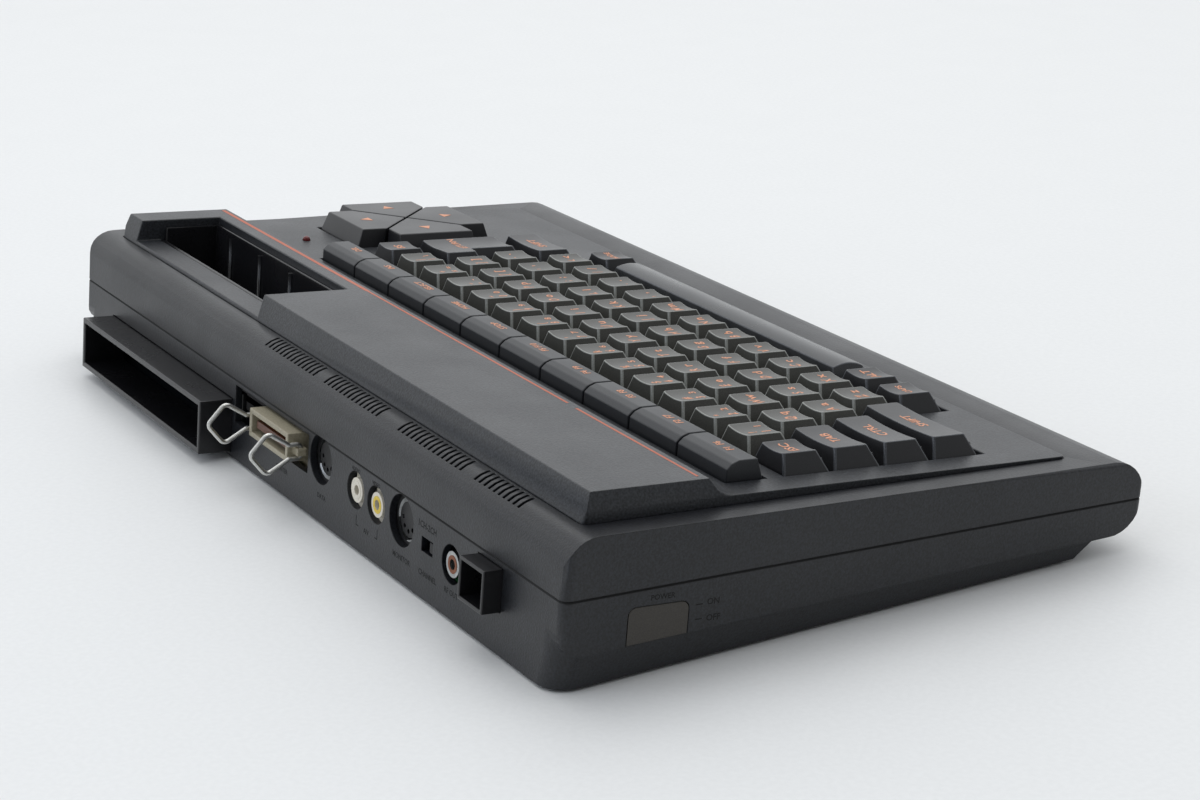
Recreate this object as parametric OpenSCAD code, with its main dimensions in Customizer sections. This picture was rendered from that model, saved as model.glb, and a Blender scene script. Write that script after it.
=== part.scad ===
// Home computer: a flat keyboard case with a hood, two cartridge slots and a row of sockets at the back.
//
// The case stands on its feet with the underside level. Its deck is tilted towards the user, and nearly
// everything is square to the deck, so nearly everything is drawn in the deck frame: x to the right from
// the middle, y to the back from the back edge of the number row, z up from the face of the bezel.
// on_table() turns what is drawn in the deck frame, or on the level underside, into its place.

/* [Case] */
// Width of the case
case_w = 383; // [381:0.5:392]
// Slope of the deck above the table, in degrees
deck_tilt = 5.7; // [5.4:0.1:6]
// Height of the deck above the table at the number row
deck_h = 43.6; // [43.4:0.1:45]
// From the number row to the back face
back_reach = 87.6; // [87.4:0.1:92]
// From the number row to the front of the nose
nose_reach = 126.3; // [126:0.1:132]
// Radius of the rounded nose
nose_r = 12.5; // [11.5:0.1:13]
// Radius of the back shoulder
shoulder_r = 10.5; // [9:0.1:11.5]
// Drop of the case top below the deck
case_drop = 2.4; // [2:0.1:2.8]
// Backward slope of the case top against the deck, in degrees
top_slope = 0.95; // [0.8:0.05:1]
// Depth of the parting line below the deck
part_drop = 19; // [18.6:0.1:19.4]
// Slope of the parting line, in degrees
part_slope = 2.5; // [2.4:0.05:2.6]
// Depth of the side lip below the deck at the back face
lip_drop = 39.8; // [39.4:0.1:40.2]
// Radius of the case corners at the front
front_corner_r = 2; // [1:0.25:6]
// Radius of the case corners at the back
back_corner_r = 3; // [2:0.25:5]
// Radius of the top edges at the sides
side_r = 2; // [0.5:0.25:2.5]
// Thickness of the shell walls
wall = 2.5; // [2:0.1:2.6]

/* [Plinth and feet] */
// Inset of the plinth below the side lip, at the back
plinth_inset = 0.6; // [0.3:0.1:2]
// Inset of the plinth at its foot
plinth_foot_inset = 2.9; // [2.2:0.1:5]
// From the nose to the front of the plinth, at its top
plinth_setback = 19.5; // [18:0.5:24]
// Run of the sloping front of the plinth
plinth_slope_run = 7; // [4:0.5:10]
// Radius of the upright corners of the lower part
plinth_corner_r = 9; // [5:0.5:12]
// Height of the nose's underside above the table
nose_clear = 6.5; // [6:0.1:7]
// Diameter of the rubber feet
foot_d = 12; // [10:0.5:16]
// How far the feet stand proud of the underside
foot_proud = 1; // [0.8:0.1:1.4]
// Depth of the feet in their recesses
foot_sink = 0.8; // [0.5:0.1:1]
// From the case sides to the middle of the feet
foot_from_side = 21; // [16:1:30]

/* [Cooling slots] */
// Width of one cooling slot
vent_w = 1.3; // [1:0.1:1.6]
// Pitch of the cooling slots
vent_pitch = 3; // [2.8:0.1:3.4]

/* [Bezel and hood] */
// Width of the bezel
bezel_w = 363; // [361:0.5:365]
// From the number row to the front edge of the bezel
bezel_reach = 100.6; // [100.2:0.1:102]
// From the number row to the back edge of the bezel
bezel_back = 77; // [76.6:0.1:77.2]
// Height of the bezel's edge
rim_h = 4.5; // [4.3:0.1:4.7]
// Thickness of the bezel plate and the hood
skin = 2.2; // [1.8:0.1:2.4]
// Groove round the bezel
bezel_gap = 0.5; // [0.3:0.1:0.8]
// Height of the hood above the bezel plate
hood_h = 5.5; // [5:0.1:6.5]
// From the number row to the foot of the hood's front
hood_front = 25; // [24.5:0.1:26]
// Run of the hood's hollow front face
hood_run = 9; // [8:0.5:10]
// Draft of the hood at its back and sides
hood_draft = 2.5; // [1.5:0.1:3]
// Width of the ledge that the bezel rests on
ledge = 3; // [2.5:0.1:3.2]

/* [Cartridge slots] */
// Width of the opening in the hood
slot_w = 117.5; // [114:0.5:119]
// Front to back size of the opening in the hood
slot_depth = 24.7; // [23:0.1:25]
// Place of the opening's middle, to the right of the case middle
slot_x = 108.4; // [107:0.2:110]
// From the number row to the front of the opening
slot_front = 42; // [41:0.2:42.4]
// Depth of the well's floor below the deck
well_depth = 25; // [22:0.5:26]
// Wall of the cartridge well
well_wall = 1.5; // [1.2:0.1:2]
// Width of the sleeve of the rear slot
sleeve_w = 118; // [114:0.5:120]
// Height of the sleeve of the rear slot
sleeve_h = 19.6; // [17:0.1:19.8]
// Place of the sleeve's middle, to the right of the case middle
sleeve_x = 102.65; // [102:0.05:104]
// Depth of the sleeve's middle below the deck
sleeve_drop = 40.2; // [39.9:0.1:40.3]
// How far the sleeve stands out of the back face
sleeve_proud = 12.4; // [6:0.2:13]
// Wall of the sleeve
sleeve_wall = 2; // [1.4:0.1:2.4]

/* [Keys] */
// Pitch of the keys
pitch = 19.05; // [19:0.01:19.08]
// Gap between neighbouring key skirts
key_gap = 0.8; // [0.6:0.05:1]
// Height of the key tops above the bezel
key_top = 6; // [5.5:0.1:7]
// Depth of the key skirts below the bezel
key_skirt = 2; // [1.8:0.1:2.2]
// Travel of a key
key_travel = 3.5; // [2.5:0.1:3.6]
// How far a key's sides lean in
key_lean = 3.15; // [2.5:0.05:3.4]
// How far a key's front leans in
key_front_lean = 4.7; // [4:0.1:5]
// How far a key's back leans in
key_back_lean = 1.1; // [0.6:0.1:1.4]
// Depth of the dish in a key top
dish = 0.7; // [0.4:0.05:0.9]
// Wall of a key cap
cap_wall = 1.3; // [1:0.1:1.4]
// Side of the square key stems
stem = 5; // [4.4:0.1:5.4]
// Gap round a stem in its guide
stem_gap = 0.3; // [0.25:0.05:0.35]
// Gap round the key blocks in the bezel
well_gap = 0.4; // [0.3:0.05:0.5]
// From the case middle to the left edge of the keys
keys_left = 170.75; // [170:0.05:171.5]
// Reach of a cursor key from the middle of its cross
cursor_reach = 30; // [29:0.1:30.2]
// Half the width of a cursor key
cursor_half = 17.5; // [16:0.1:18]
// Height of the cursor keys above the bezel
cursor_top = 6.8; // [6:0.1:8]
// Diameter of the power light
led_d = 3; // [2.6:0.1:3.4]

/* [Boards] */
// Thickness of the boards
board_t = 1.6; // [1.2:0.1:1.6]
// Depth of the keyboard board below the bezel
key_board_drop = 13; // [12.8:0.1:13.6]
// Depth of the main board below the deck
main_board_drop = 40; // [39.8:0.1:40.1]
// From the number row to the front of the main board
main_board_front = 25; // [24.5:0.1:26]

/* [Sockets] */
// Diameter of the holes for the round DIN plugs
din_hole = 17; // [16.6:0.1:17.4]
// Diameter of the holes round the phono sockets
phono_hole = 12.6; // [12:0.1:13]
// Diameter of the phono socket barrels
phono_d = 8.3; // [8:0.05:8.6]
// Width of the power inlet's shroud
inlet_w = 15.3; // [14.5:0.1:16]
// Height of the power inlet's shroud
inlet_h = 13.6; // [13:0.1:14]
// How far the power inlet stands out of the back
inlet_proud = 6.4; // [4:0.1:8]
// Width of the printer connector
printer_w = 32; // [30:0.5:33]
// Height of the printer connector
printer_h = 10; // [9.6:0.1:10.4]
// How far the printer connector stands out of the back
printer_proud = 4.9; // [4.5:0.1:5.5]
// Thickness of the bail wire
bail_wire = 1.6; // [1.4:0.1:1.8]
// Radius of the bail's bow, at the wire's middle
bail_r = 6.2; // [5.6:0.1:6.6]
// Travel of the channel switch
channel_travel = 4; // [3:0.1:4.2]

/* [Power button] */
// Length of the power button along the case side
button_l = 20.4; // [18:0.1:21]
// Height of the power button
button_h = 10.9; // [10.4:0.1:11.2]
// Travel of the power button
button_travel = 2.5; // [1.5:0.1:2.6]

/* [Hidden] */
// One clearance between pieces that are put together and do not move
fit = 0.2;
// One clearance between pieces that move past each other
run = 0.3;
row_count = 5;

half_w = case_w / 2;
function top_z(y) = -case_drop - y * tan(top_slope);
function part_z(y) = -part_drop - y * tan(part_slope);
// Height in the deck frame, at a given y, of a level plane above the table
function level_z(h, y) = (h - deck_h) / cos(deck_tilt) - y * tan(deck_tilt);
// A point given by its distance along the table and its height above it, in the deck frame
function from_table(y, h) = [
    y * cos(deck_tilt) + (h - deck_h) * sin(deck_tilt),
    -y * sin(deck_tilt) + (h - deck_h) * cos(deck_tilt)];
// Distance along the table of a point of the deck frame
function table_y(y, z) = y * cos(deck_tilt) - z * sin(deck_tilt);
function arc(c, r, a0, a1, n) = [for (i = [0:n])
    let (a = a0 + (a1 - a0) * i / n) [c.x + r * cos(a), c.y + r * sin(a)]];

nose_c = [-(nose_reach - nose_r), top_z(-(nose_reach - nose_r)) - nose_r];
shoulder_c = [back_reach - shoulder_r, top_z(back_reach - shoulder_r) - shoulder_r];
lip_r = 7;
taper_h = 12;

// Rows and cells of keys
first_back = 0.7;
function row_back(row) = first_back - pitch * (row - 1);
function cell_x(u) = -keys_left + pitch * u;
block_end = 15;
row5_start = 2.25;
row5_end = 13.25;
grey_rows = [["number_row_keys", 1, 1, 13], ["upper_row_keys", 2, 1.5, 12],
    ["home_row_keys", 3, 1.75, 12], ["lower_row_keys", 4, 2.25, 11]];
black_keys = [["escape_key", 1, 0, 1], ["backspace_key", 1, 14, 15], ["tab_key", 2, 0, 1.5],
    ["control_key", 3, 0, 1.75], ["left_shift_key", 4, 0, 2.25], ["right_shift_key", 4, 13.25, 15],
    ["caps_key", 5, 2.25, 3.25], ["graph_key", 5, 3.25, 4.25], ["code_key", 5, 12.25, 13.25]];
space_cells = [4.25, 12.25];
space_stems = [-50, 0, 50];
return_upper = 13.5;
return_lower = 13.75;
stem_back = 9.4; // from a cell's back edge to the middle of its stem
function_names = [for (i = [1:10]) str("function_key_", i)];
function_pitch = 1.5;
function_front = 7.4;
function_back = 21.4;
function_stem_y = 14.8;
function_top = key_top + 0.5;
function_opening = [function_front - 0.5, function_back + 0.9];
cursor_names = ["cursor_up_key", "cursor_left_key", "cursor_down_key", "cursor_right_key"];
cursor_x = 146.15;
cursor_y = -30;
cursor_stem = 19;
cursor_gap = 0.6;
cursor_lean = 1.5;
cursor_end_lean = 3;
cursor_margin = 0.7;
led_x = 144.55;
led_y = 14.5;

// All stems, as [x, y] in the deck frame
grey_stems = [for (g = grey_rows) for (i = [0:g[3] - 1])
    [cell_x(g[2] + i + 0.5), row_back(g[1]) - stem_back]];
black_stems = [for (k = black_keys) [cell_x((k[2] + k[3]) / 2), row_back(k[1]) - stem_back]];
space_x = cell_x((space_cells[0] + space_cells[1]) / 2);
space_stem_places = [for (s = space_stems) [space_x + s, row_back(row_count) - stem_back]];
return_x = cell_x((return_lower + block_end) / 2);
return_stem = [return_x, row_back(3) + 2];
function_stems = [for (i = [0:9]) [cell_x(function_pitch * (i + 0.5)), function_stem_y]];
cursor_stems = [for (a = [90, 180, 270, 360])
    [cursor_x + cursor_stem * cos(a), cursor_y + cursor_stem * sin(a)]];
stems = concat(grey_stems, black_stems, space_stem_places, [return_stem], function_stems, cursor_stems);

// Key frame: a plate with a collar round each stem, standing on the keyboard board
frame_half = bezel_w / 2 - ledge - 2.1;
frame_front = -(bezel_reach - ledge - 2.1);
frame_back = 24;
frame_t = 1.5;
frame_top = -(key_skirt + key_travel + 0.5);
frame_rim = 2;
collar_wall = 1.2;
collar_h = 3.6;
stem_end = -(key_board_drop - 1 - 0.2 - key_travel);
pad_t = 0.5;
pad_sheet_t = 0.5;
pad_w = 7;

// Bezel underside
ring_gap = 0.3;
ring_t = 1.2;
ring_drop = 8;

// Case screws, [x, y]
screw_d = 3;
screw_head_d = 5.6;
screw_head_h = 2.2;
screw_bore = screw_d + 0.2;
case_screw_l = 12;
seat_t = 3;
boss_d = 9;
top_boss_d = 7.4;
boss_from_side = 10.5;
boss_from_back = 7.1;
front_boss_x = 150;
front_boss_y = -(nose_reach - 16.3);
case_bosses = [[-(half_w - boss_from_side), back_reach - boss_from_back],
    [half_w - boss_from_side, back_reach - boss_from_back],
    [-front_boss_x, front_boss_y], [0, front_boss_y], [front_boss_x, front_boss_y]];
boss_seat = [seat_t + 5, seat_t + 5, seat_t, seat_t, seat_t];

// Keyboard posts and main board posts, [x, y]
post_d = 8;
key_post_x = [-165, -56, 56, 165];
key_post_y = [-88.5, 18.5];
key_screw_l = 8;
main_posts = [[-168, 31], [-60, 31], [40, 31], [168, 31], [-168, 70], [35.5, 75]];
main_half = 176;
main_back = back_reach - wall - 0.6;
main_top = -main_board_drop;
board_under = main_top - board_t;

// Back sockets, x of the middle and depth below the deck
data_din = [-30.35, -30];
av_din = [-90.35, -31.5];
audio_at = [-57.35, -32];
video_at = [-72.35, -32.2];
rf_at = [-124.65, -34.2];
channel_at = [-108.45, -34];
inlet_at = [-148.5, -31.5];
printer_at = [1.65, -30.5];
printer_mouth = 9;
inner_back = back_reach - wall;
din_block_w = 18.6;
din_block_l = 12;
phono_block_w = 10;
phono_block_l = 13;
can_x = [-135, -101];
can_y = [46, 79.6];
can_h = 17;
channel_hole = [7.7, 4.8];
slider_w = 2.6;
slider_h = 3.4;
recess_x = [-20.4, 41.2];
recess_z = [-38, -24.5];
bail_root = back_reach + 1;
bail_z = -31.3;
bail_neck = 2.5;
bail_bow_y = back_reach + 12.7;
bail_out = 2;
bail_bend = 1.3;
bail_side = 6.6;
bail_corner_r = 2.4;
bail_tip_r = 2;
bail_open = 120; // directions of the bow's corners at their two ends
bail_close = 41;
wire_sides = 12;

// Cartridge parts
connector_w = 108;
connector_t = 8.5;
slot_back = slot_front + slot_depth;
strip_z = -2.5;
well_drop = 3;
flange = 2.2;
sleeve_flange = 2.5;
sleeve_flange_t = 2;
notch_y = 60;

// Power button, on the left side
button_y = 55.3;
button_z = -31.8;
button_corner_r = 2.5;
button_flange = 1;
button_rod = 4;
button_pad = 1.2;
switch_x = -half_w + wall + run + button_pad + button_travel + 1;

// Controller ports, on the right side
port_y = [40.5, 62.5];
port_z = -31.2;
port_w = 20;
port_h = 13;
port_l = 14;
port_nose = [19.4, 9.4];
port_mouth = [17, 7.6];

bail_tip_y = table_y(bail_bow_y, bail_z) + bail_r + bail_wire / 2;
nose_tip_y = table_y(nose_c.x, nose_c.y) - nose_r;
centre_y = -(bail_tip_y + nose_tip_y) / 2;

$fn = 48;

// ---- Frames and simple helpers ----

// From the deck frame to the finished part, which is centred on its box and stands on z = 0
module on_table() {
    translate([0, centre_y, deck_h]) rotate([deck_tilt, 0, 0]) children();
}

// Inside on_table(): from the level table frame back to the deck frame
module level() {
    rotate([-deck_tilt, 0, 0]) translate([0, 0, -deck_h]) children();
}

// Extrudes a side view, drawn as [y, z], across the case
module across(w, x = 0) {
    translate([x - w / 2, 0, 0]) rotate([90, 0, 90]) linear_extrude(w) children();
}

// Extrudes a front view, drawn as [x, z], from y0 to y1
module along(y0, y1) {
    translate([0, y1, 0]) rotate([90, 0, 0]) linear_extrude(y1 - y0) children();
}

// A box between two corners
module block(a, b) {
    translate(a) cube(b - a);
}

module disc(x, y, z0, z1, d) {
    translate([x, y, z0]) cylinder(h = z1 - z0, d = d);
}

// A round bar along y
module barrel(x, z, y0, y1, d) {
    translate([x, y0, z]) rotate([-90, 0, 0]) cylinder(h = y1 - y0, d = d);
}

function plan_outline(w, front, back, rf, rb) = let (x = w / 2) concat(
    arc([-x + rf, front + rf], rf, 180, 270, 6), arc([x - rf, front + rf], rf, 270, 360, 6),
    arc([x - rb, back - rb], rb, 0, 90, 4), arc([-x + rb, back - rb], rb, 90, 180, 4));

// ---- Case shells ----

// Side view of the case above its lip, drawn in by d
function side_view(d) = concat(
    arc(nose_c, nose_r - d, 90, 270, 14),
    arc([back_reach - lip_r, -lip_drop + lip_r], lip_r - d, 270, 360, 4),
    arc(shoulder_c, shoulder_r - d, 0, 90, 7));

module body(d) {
    intersection() {
        across(case_w - 2 * d) polygon(side_view(d));
        translate([0, 0, -90]) linear_extrude(100) polygon(plan_outline(case_w - 2 * d,
            -nose_reach + d, back_reach - d, max(0.5, front_corner_r - d), max(0.5, back_corner_r - d)));
    }
}

// The lower part, between the lip and the level underside, drawn in by d: upright walls above a taper
module plinth(d) {
    front_y = table_y(-nose_reach, 0) + plinth_setback + d;
    foot = foot_proud + d;
    low = foot - 5;
    top = nose_clear + 8;
    slope = plinth_slope_run / (nose_clear - foot);
    beyond = back_reach + 5;
    r = max(0.5, plinth_corner_r - d);
    x = half_w - plinth_inset - d - r;
    taper = plinth_foot_inset - plinth_inset;
    rim = concat(arc([-x, r - nose_reach], r, 180, 270, 8), arc([x, r - nose_reach], r, 270, 360, 8),
        arc([x, back_reach - d - r], r, 0, 90, 8), arc([-x, back_reach - d - r], r, 90, 180, 8));
    n = len(rim);
    points = concat([for (p = rim) [p.x - sign(p.x) * taper, p.y, level_z(foot, p.y)]],
        [for (p = rim) [p.x, p.y, level_z(foot_proud + taper_h, p.y)]], [for (p = rim) [p.x, p.y, 0]]);
    faces = concat([[for (i = [0:n - 1]) i], [for (i = [n - 1:-1:0]) 2 * n + i]],
        [for (k = [0, n]) for (i = [0:n - 1]) let (q = (i + 1) % n) [k + n + i, k + n + q, k + q, k + i]]);
    intersection() {
        across(case_w) polygon([from_table(front_y + slope * (nose_clear - low), low),
            from_table(front_y, nose_clear), from_table(front_y, top), [beyond, -lip_drop + lip_r],
            [beyond, level_z(low, beyond)]]);
        polyhedron(points, faces);
    }
}

// Everything between the parting plane raised by lo and the same plane raised by hi
module band(lo, hi) {
    y = case_w;
    across(2 * case_w) polygon([[-y, part_z(-y) + lo], [y, part_z(y) + lo],
        [y, part_z(y) + hi], [-y, part_z(-y) + hi]]);
}

function bezel_outline(grow) = plan_outline(bezel_w + 2 * grow, -bezel_reach - grow,
    bezel_back + grow, max(0.4, 2 + grow), max(0.4, 2 + grow));

// Cooling slots: x of the first slot and the number of slots
vent_groups = [[-13.85, 14], [-61.85, 14], [-119.85, 15], [-156.35, 10]];
vent_y = [bezel_back + bezel_gap + 0.9, back_reach - 3.8];

module top_case() {
    color("#3f4044")
    on_table() difference() {
        union() {
            difference() {
                intersection() {
                    body(0);
                    along(-case_w, case_w) polygon(concat([[-half_w, -90], [half_w, -90]],
                        arc([half_w - side_r, -side_r], side_r, 0, 90, 4),
                        arc([-half_w + side_r, -side_r], side_r, 90, 180, 4)));
                }
                body(wall);
            }
            intersection() {
                body(0);
                translate([0, 0, -rim_h - wall]) linear_extrude(rim_h + wall)
                    polygon(bezel_outline(bezel_gap + wall));
            }
            for (b = case_bosses) intersection() {
                body(wall / 2);
                disc(b.x, b.y, -60, 0, top_boss_d);
            }
        }
        band(-90, 0);
        translate([0, 0, -rim_h]) linear_extrude(20) polygon(bezel_outline(bezel_gap));
        translate([0, 0, -30]) linear_extrude(40) polygon(bezel_outline(-ledge));
        for (b = case_bosses) disc(b.x, b.y, -60, part_z(b.y) + 11, screw_bore);
        for (g = vent_groups) for (i = [0:g[1] - 1])
            translate([g[0] + i * vent_pitch, vent_y[0], -14])
                cube([vent_w, vent_y[1] - vent_y[0], 20]);
    }
}

module bottom_case() {
    tongue_t = 1.2;
    tongue_h = 2.5;
    color("#3c3d41")
    on_table() difference() {
        union() {
            difference() {
                intersection() {
                    union() {
                        body(0);
                        plinth(0);
                    }
                    band(-90, 0);
                }
                body(wall);
                plinth(wall);
            }
            // Tongue inside the joint, along the sides and the front
            difference() {
                union() {
                    intersection() {
                        body(wall / 2);
                        band(-tongue_h, 0);
                    }
                    intersection() {
                        body(wall + fit);
                        band(-tongue_h, tongue_h);
                    }
                }
                body(wall + fit + tongue_t);
                block([-half_w, 20, -60], [half_w, back_reach + 1, 0]);
            }
            // Bosses and posts stand on the level floor
            intersection() {
                union() {
                    body(wall / 2);
                    plinth(wall / 2);
                }
                union() {
                    intersection() {
                        for (b = case_bosses) disc(b.x, b.y, -60, 0, boss_d);
                        band(-90, 0);
                    }
                    for (x = key_post_x) for (y = key_post_y)
                        disc(x, y, -60, -key_board_drop - board_t, post_d);
                    for (p = main_posts) disc(p.x, p.y, -60, board_under, post_d);
                }
            }
        }
        for (i = [0:len(case_bosses) - 1]) let (b = case_bosses[i]) {
            disc(b.x, b.y, -80, 0, screw_bore);
            disc(b.x, b.y, -80, part_z(b.y) - boss_seat[i], screw_head_d + 0.8);
        }
        for (x = key_post_x) for (y = key_post_y)
            disc(x, y, -key_board_drop - board_t - key_screw_l, 0, screw_bore);
        for (p = main_posts)
            disc(p.x, p.y, board_under - 1.3, 0, screw_bore);
        back_cuts();
        left_cut();
        right_cuts();
        level() for (p = feet) disc(p.x, p.y, -1, foot_proud + foot_sink, foot_d + 2 * fit);
    }
}

feet = [for (sx = [-1, 1]) for (y = [table_y(-nose_reach, 0) + 36, table_y(back_reach, 0) - 14])
    [sx * (half_w - foot_from_side), y]];

// Holes in the back wall
module back_cuts() {
    y0 = inner_back - 1;
    y1 = back_reach + 1;
    for (p = [data_din, av_din]) barrel(p.x, p.y, y0, y1, din_hole);
    for (p = [audio_at, video_at, rf_at]) barrel(p.x, p.y, y0, y1, phono_hole);
    block([channel_at.x - channel_hole.x / 2, y0, channel_at.y - channel_hole.y / 2],
        [channel_at.x + channel_hole.x / 2, y1, channel_at.y + channel_hole.y / 2]);
    block([inlet_at.x - inlet_w / 2 - fit, y0, inlet_at.y - inlet_h / 2 - fit],
        [inlet_at.x + inlet_w / 2 + fit, y1, inlet_at.y + inlet_h / 2 + fit]);
    block([recess_x[0], y0, recess_z[0]], [recess_x[1], y1, recess_z[1]]);
    translate([sleeve_x, 0, -sleeve_drop]) {
        block([-sleeve_w / 2 - run, y0, -sleeve_h / 2 - run], [sleeve_w / 2 + run, y1, sleeve_h / 2 + run]);
        // Room in the floor for a cartridge and for the sleeve's inner end
        block([-sleeve_w / 2 - sleeve_flange - fit, notch_y, -sleeve_h / 2 + sleeve_wall - 0.2],
            [sleeve_w / 2 + sleeve_flange + fit, inner_back, 0]);
        block([-sleeve_w / 2 - sleeve_flange - fit, inner_back - sleeve_flange_t - fit, -sleeve_h / 2 - run],
            [sleeve_w / 2 + sleeve_flange + fit, inner_back, 0]);
    }
}

// Height of the lower edge of the side lip
function lip_z(y) = let (a = nose_c - [0, nose_r], b = [back_reach - lip_r, -lip_drop])
    a.y + (y - a.x) * (b.y - a.y) / (b.x - a.x);

// Side view of the power button, whose lower edge follows the lip's
function button_outline(grow) = let (y0 = button_y - button_l / 2 - grow,
    y1 = button_y + button_l / 2 + grow, top = button_top + grow, r = button_corner_r + grow) concat(
    [[y0, lip_z(y0) - grow], [y1, lip_z(y1) - grow]],
    arc([y1 - r, top - r], r, 0, 90, 5), arc([y0 + r, top - r], r, 90, 180, 5));
button_top = lip_z(button_y) + button_h;

module left_cut() {
    across(wall + 7, -half_w + (wall + 5) / 2) polygon(button_outline(run));
}

module right_cuts() {
    for (y = port_y) block([half_w - wall - 4, y - port_nose.x / 2 - fit, port_z - port_nose.y / 2 - fit],
        [half_w + 1, y + port_nose.x / 2 + fit, port_z + port_nose.y / 2 + fit]);
}

module rubber_feet() {
    color("#1c1c1e")
    on_table() level() for (p = feet) disc(p.x, p.y, 0, foot_proud + foot_sink, foot_d);
}

// A screw with its head below, pointing up, or turned over with its head above
module screw(l) {
    cylinder(h = l, d = screw_d);
    translate([0, 0, -screw_head_h]) difference() {
        cylinder(h = screw_head_h, d = screw_head_d);
        translate([0, 0, -1]) cylinder(h = 2, d = 2.6);
    }
}

module screws() {
    color("silver")
    on_table() {
        for (i = [0:len(case_bosses) - 1]) let (b = case_bosses[i])
            translate([b.x, b.y, part_z(b.y) - boss_seat[i]]) screw(case_screw_l);
        for (x = key_post_x) for (y = key_post_y)
            translate([x, y, -key_board_drop]) mirror([0, 0, 1]) screw(key_screw_l);
        for (p = main_posts)
            translate([p.x, p.y, main_top]) mirror([0, 0, 1]) screw(board_t + 1);
    }
}

// ---- Bezel with hood ----

// Side view of the bezel, open end at the given depth, drawn in by d
function bezel_view(d, bottom) = let (
    y1 = hood_front + hood_run,
    r = hood_run + 1,
    hollow = arc([hood_front + d, r - d], r, 270, 330, 5))
    concat([[-bezel_reach + d, bottom], [-bezel_reach + d, -d]], hollow,
        [[y1 + d, hood_h - d], [bezel_back - hood_draft - d, hood_h - d], [bezel_back - d, -3.5],
        [bezel_back - d, bottom]]);

module bezel_shape(d, bottom) {
    intersection() {
        across(bezel_w - 2 * d) polygon(bezel_view(d, bottom));
        along(-case_w, case_w) polygon([[-bezel_w / 2 + d, -60], [bezel_w / 2 - d, -60],
            [bezel_w / 2 - d, 0], [bezel_w / 2 - d - 1.7, hood_h], [-bezel_w / 2 + d + 1.7, hood_h],
            [-bezel_w / 2 + d, 0]]);
        translate([0, 0, -60]) linear_extrude(80) polygon(bezel_outline(-d));
    }
}

module key_openings() {
    m = well_gap;
    translate([0, 0, -20]) linear_extrude(40) {
        polygon([[cell_x(0) - m, row_back(1) + m], [cell_x(0) - m, row_back(5) - m],
            [cell_x(row5_start) - m, row_back(5) - m], [cell_x(row5_start) - m, row_back(6) - m],
            [cell_x(row5_end) + m, row_back(6) - m], [cell_x(row5_end) + m, row_back(5) - m],
            [cell_x(block_end) + m, row_back(5) - m], [cell_x(block_end) + m, row_back(1) + m]]);
        polygon([[cell_x(0) - m, function_opening[0]], [cell_x(block_end) + m, function_opening[0]],
            [cell_x(block_end) + m, function_opening[1]], [cell_x(0) - m, function_opening[1]]]);
        for (a = [0, 90]) translate([cursor_x, cursor_y]) rotate(a)
            square([2 * (cursor_half + cursor_margin), 2 * (cursor_reach + cursor_margin)], center = true);
    }
    disc(led_x, led_y, -20, 10, led_d + 2 * fit);
}

module slot_frame(grow, z0, z1, back = slot_back) {
    block([slot_x - slot_w / 2 - grow, slot_front - grow, z0], [slot_x + slot_w / 2 + grow, back, z1]);
}

module keyboard_bezel() {
    color("#55575a")
    on_table() difference() {
        union() {
            difference() {
                bezel_shape(0, -rim_h);
                bezel_shape(skin, -rim_h - 1);
            }
            // Locating ring inside the ledge
            intersection() {
                bezel_shape(skin / 2, -ring_drop);
                translate([0, 0, -ring_drop]) linear_extrude(30) difference() {
                    polygon(bezel_outline(-ledge - ring_gap));
                    polygon(bezel_outline(-ledge - ring_gap - ring_t));
                }
            }
            // Frame round the cartridge opening, and the low strip behind it
            intersection() {
                bezel_shape(0, -rim_h);
                slot_frame(2, -rim_h, hood_h + 1, bezel_back + 1);
            }
        }
        key_openings();
        slot_frame(0, -20, 20);
        slot_frame(0, strip_z, 20, bezel_back + 1);
    }
}

// ---- Cartridge parts ----

module cartridge_well() {
    x0 = slot_x - slot_w / 2 + run;
    x1 = slot_x + slot_w / 2 - run;
    y0 = slot_front + run;
    y1 = slot_back - run;
    w = well_wall;
    color("#1d1d20")
    on_table() {
        difference() {
            union() {
                across(x1 - x0, (x0 + x1) / 2) polygon([[y0, -well_depth - w], [y0, hood_h - well_drop],
                    [y1 - w, hood_h - well_drop], [y1 - w, strip_z - fit], [y1, strip_z - fit],
                    [y1, -well_depth - w]]);
                block([x0 - flange, y0 - flange, -rim_h - 1.8], [x1 + flange, y1 + flange, -rim_h]);
            }
            block([x0 + w, y0 + w, -well_depth], [x1 - w, y1 - w, 20]);
            translate([slot_x, (y0 + y1) / 2, 0])
                block([-connector_w / 2 - fit, -connector_t / 2 - fit, -60],
                    [connector_w / 2 + fit, connector_t / 2 + fit, 0]);
        }
        // Guide ribs down the front wall
        for (f = [-0.36, -0.12, 0.12, 0.36]) translate([slot_x + f * slot_w, y0, 0])
            block([-0.75, w / 2, -well_depth - w / 2], [0.75, w + 1, hood_h - well_drop - 2]);
    }
}

// An edge connector with its slot, standing on z = 0 and open upwards
module edge_connector(l, h) {
    difference() {
        translate([-l / 2, -connector_t / 2, 0]) cube([l, connector_t, h]);
        translate([-l / 2 + 4, -1.2, h - 8]) cube([l - 8, 2.4, 9]);
    }
}

module cartridge_connectors() {
    color("#2a2a2c")
    on_table() {
        translate([slot_x, slot_front + slot_depth / 2, main_top])
            edge_connector(connector_w, main_board_drop - well_depth + 0.5);
        translate([sleeve_x, notch_y, -sleeve_drop]) rotate([-90, 0, 0])
            edge_connector(connector_w, 9);
    }
}

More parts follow.
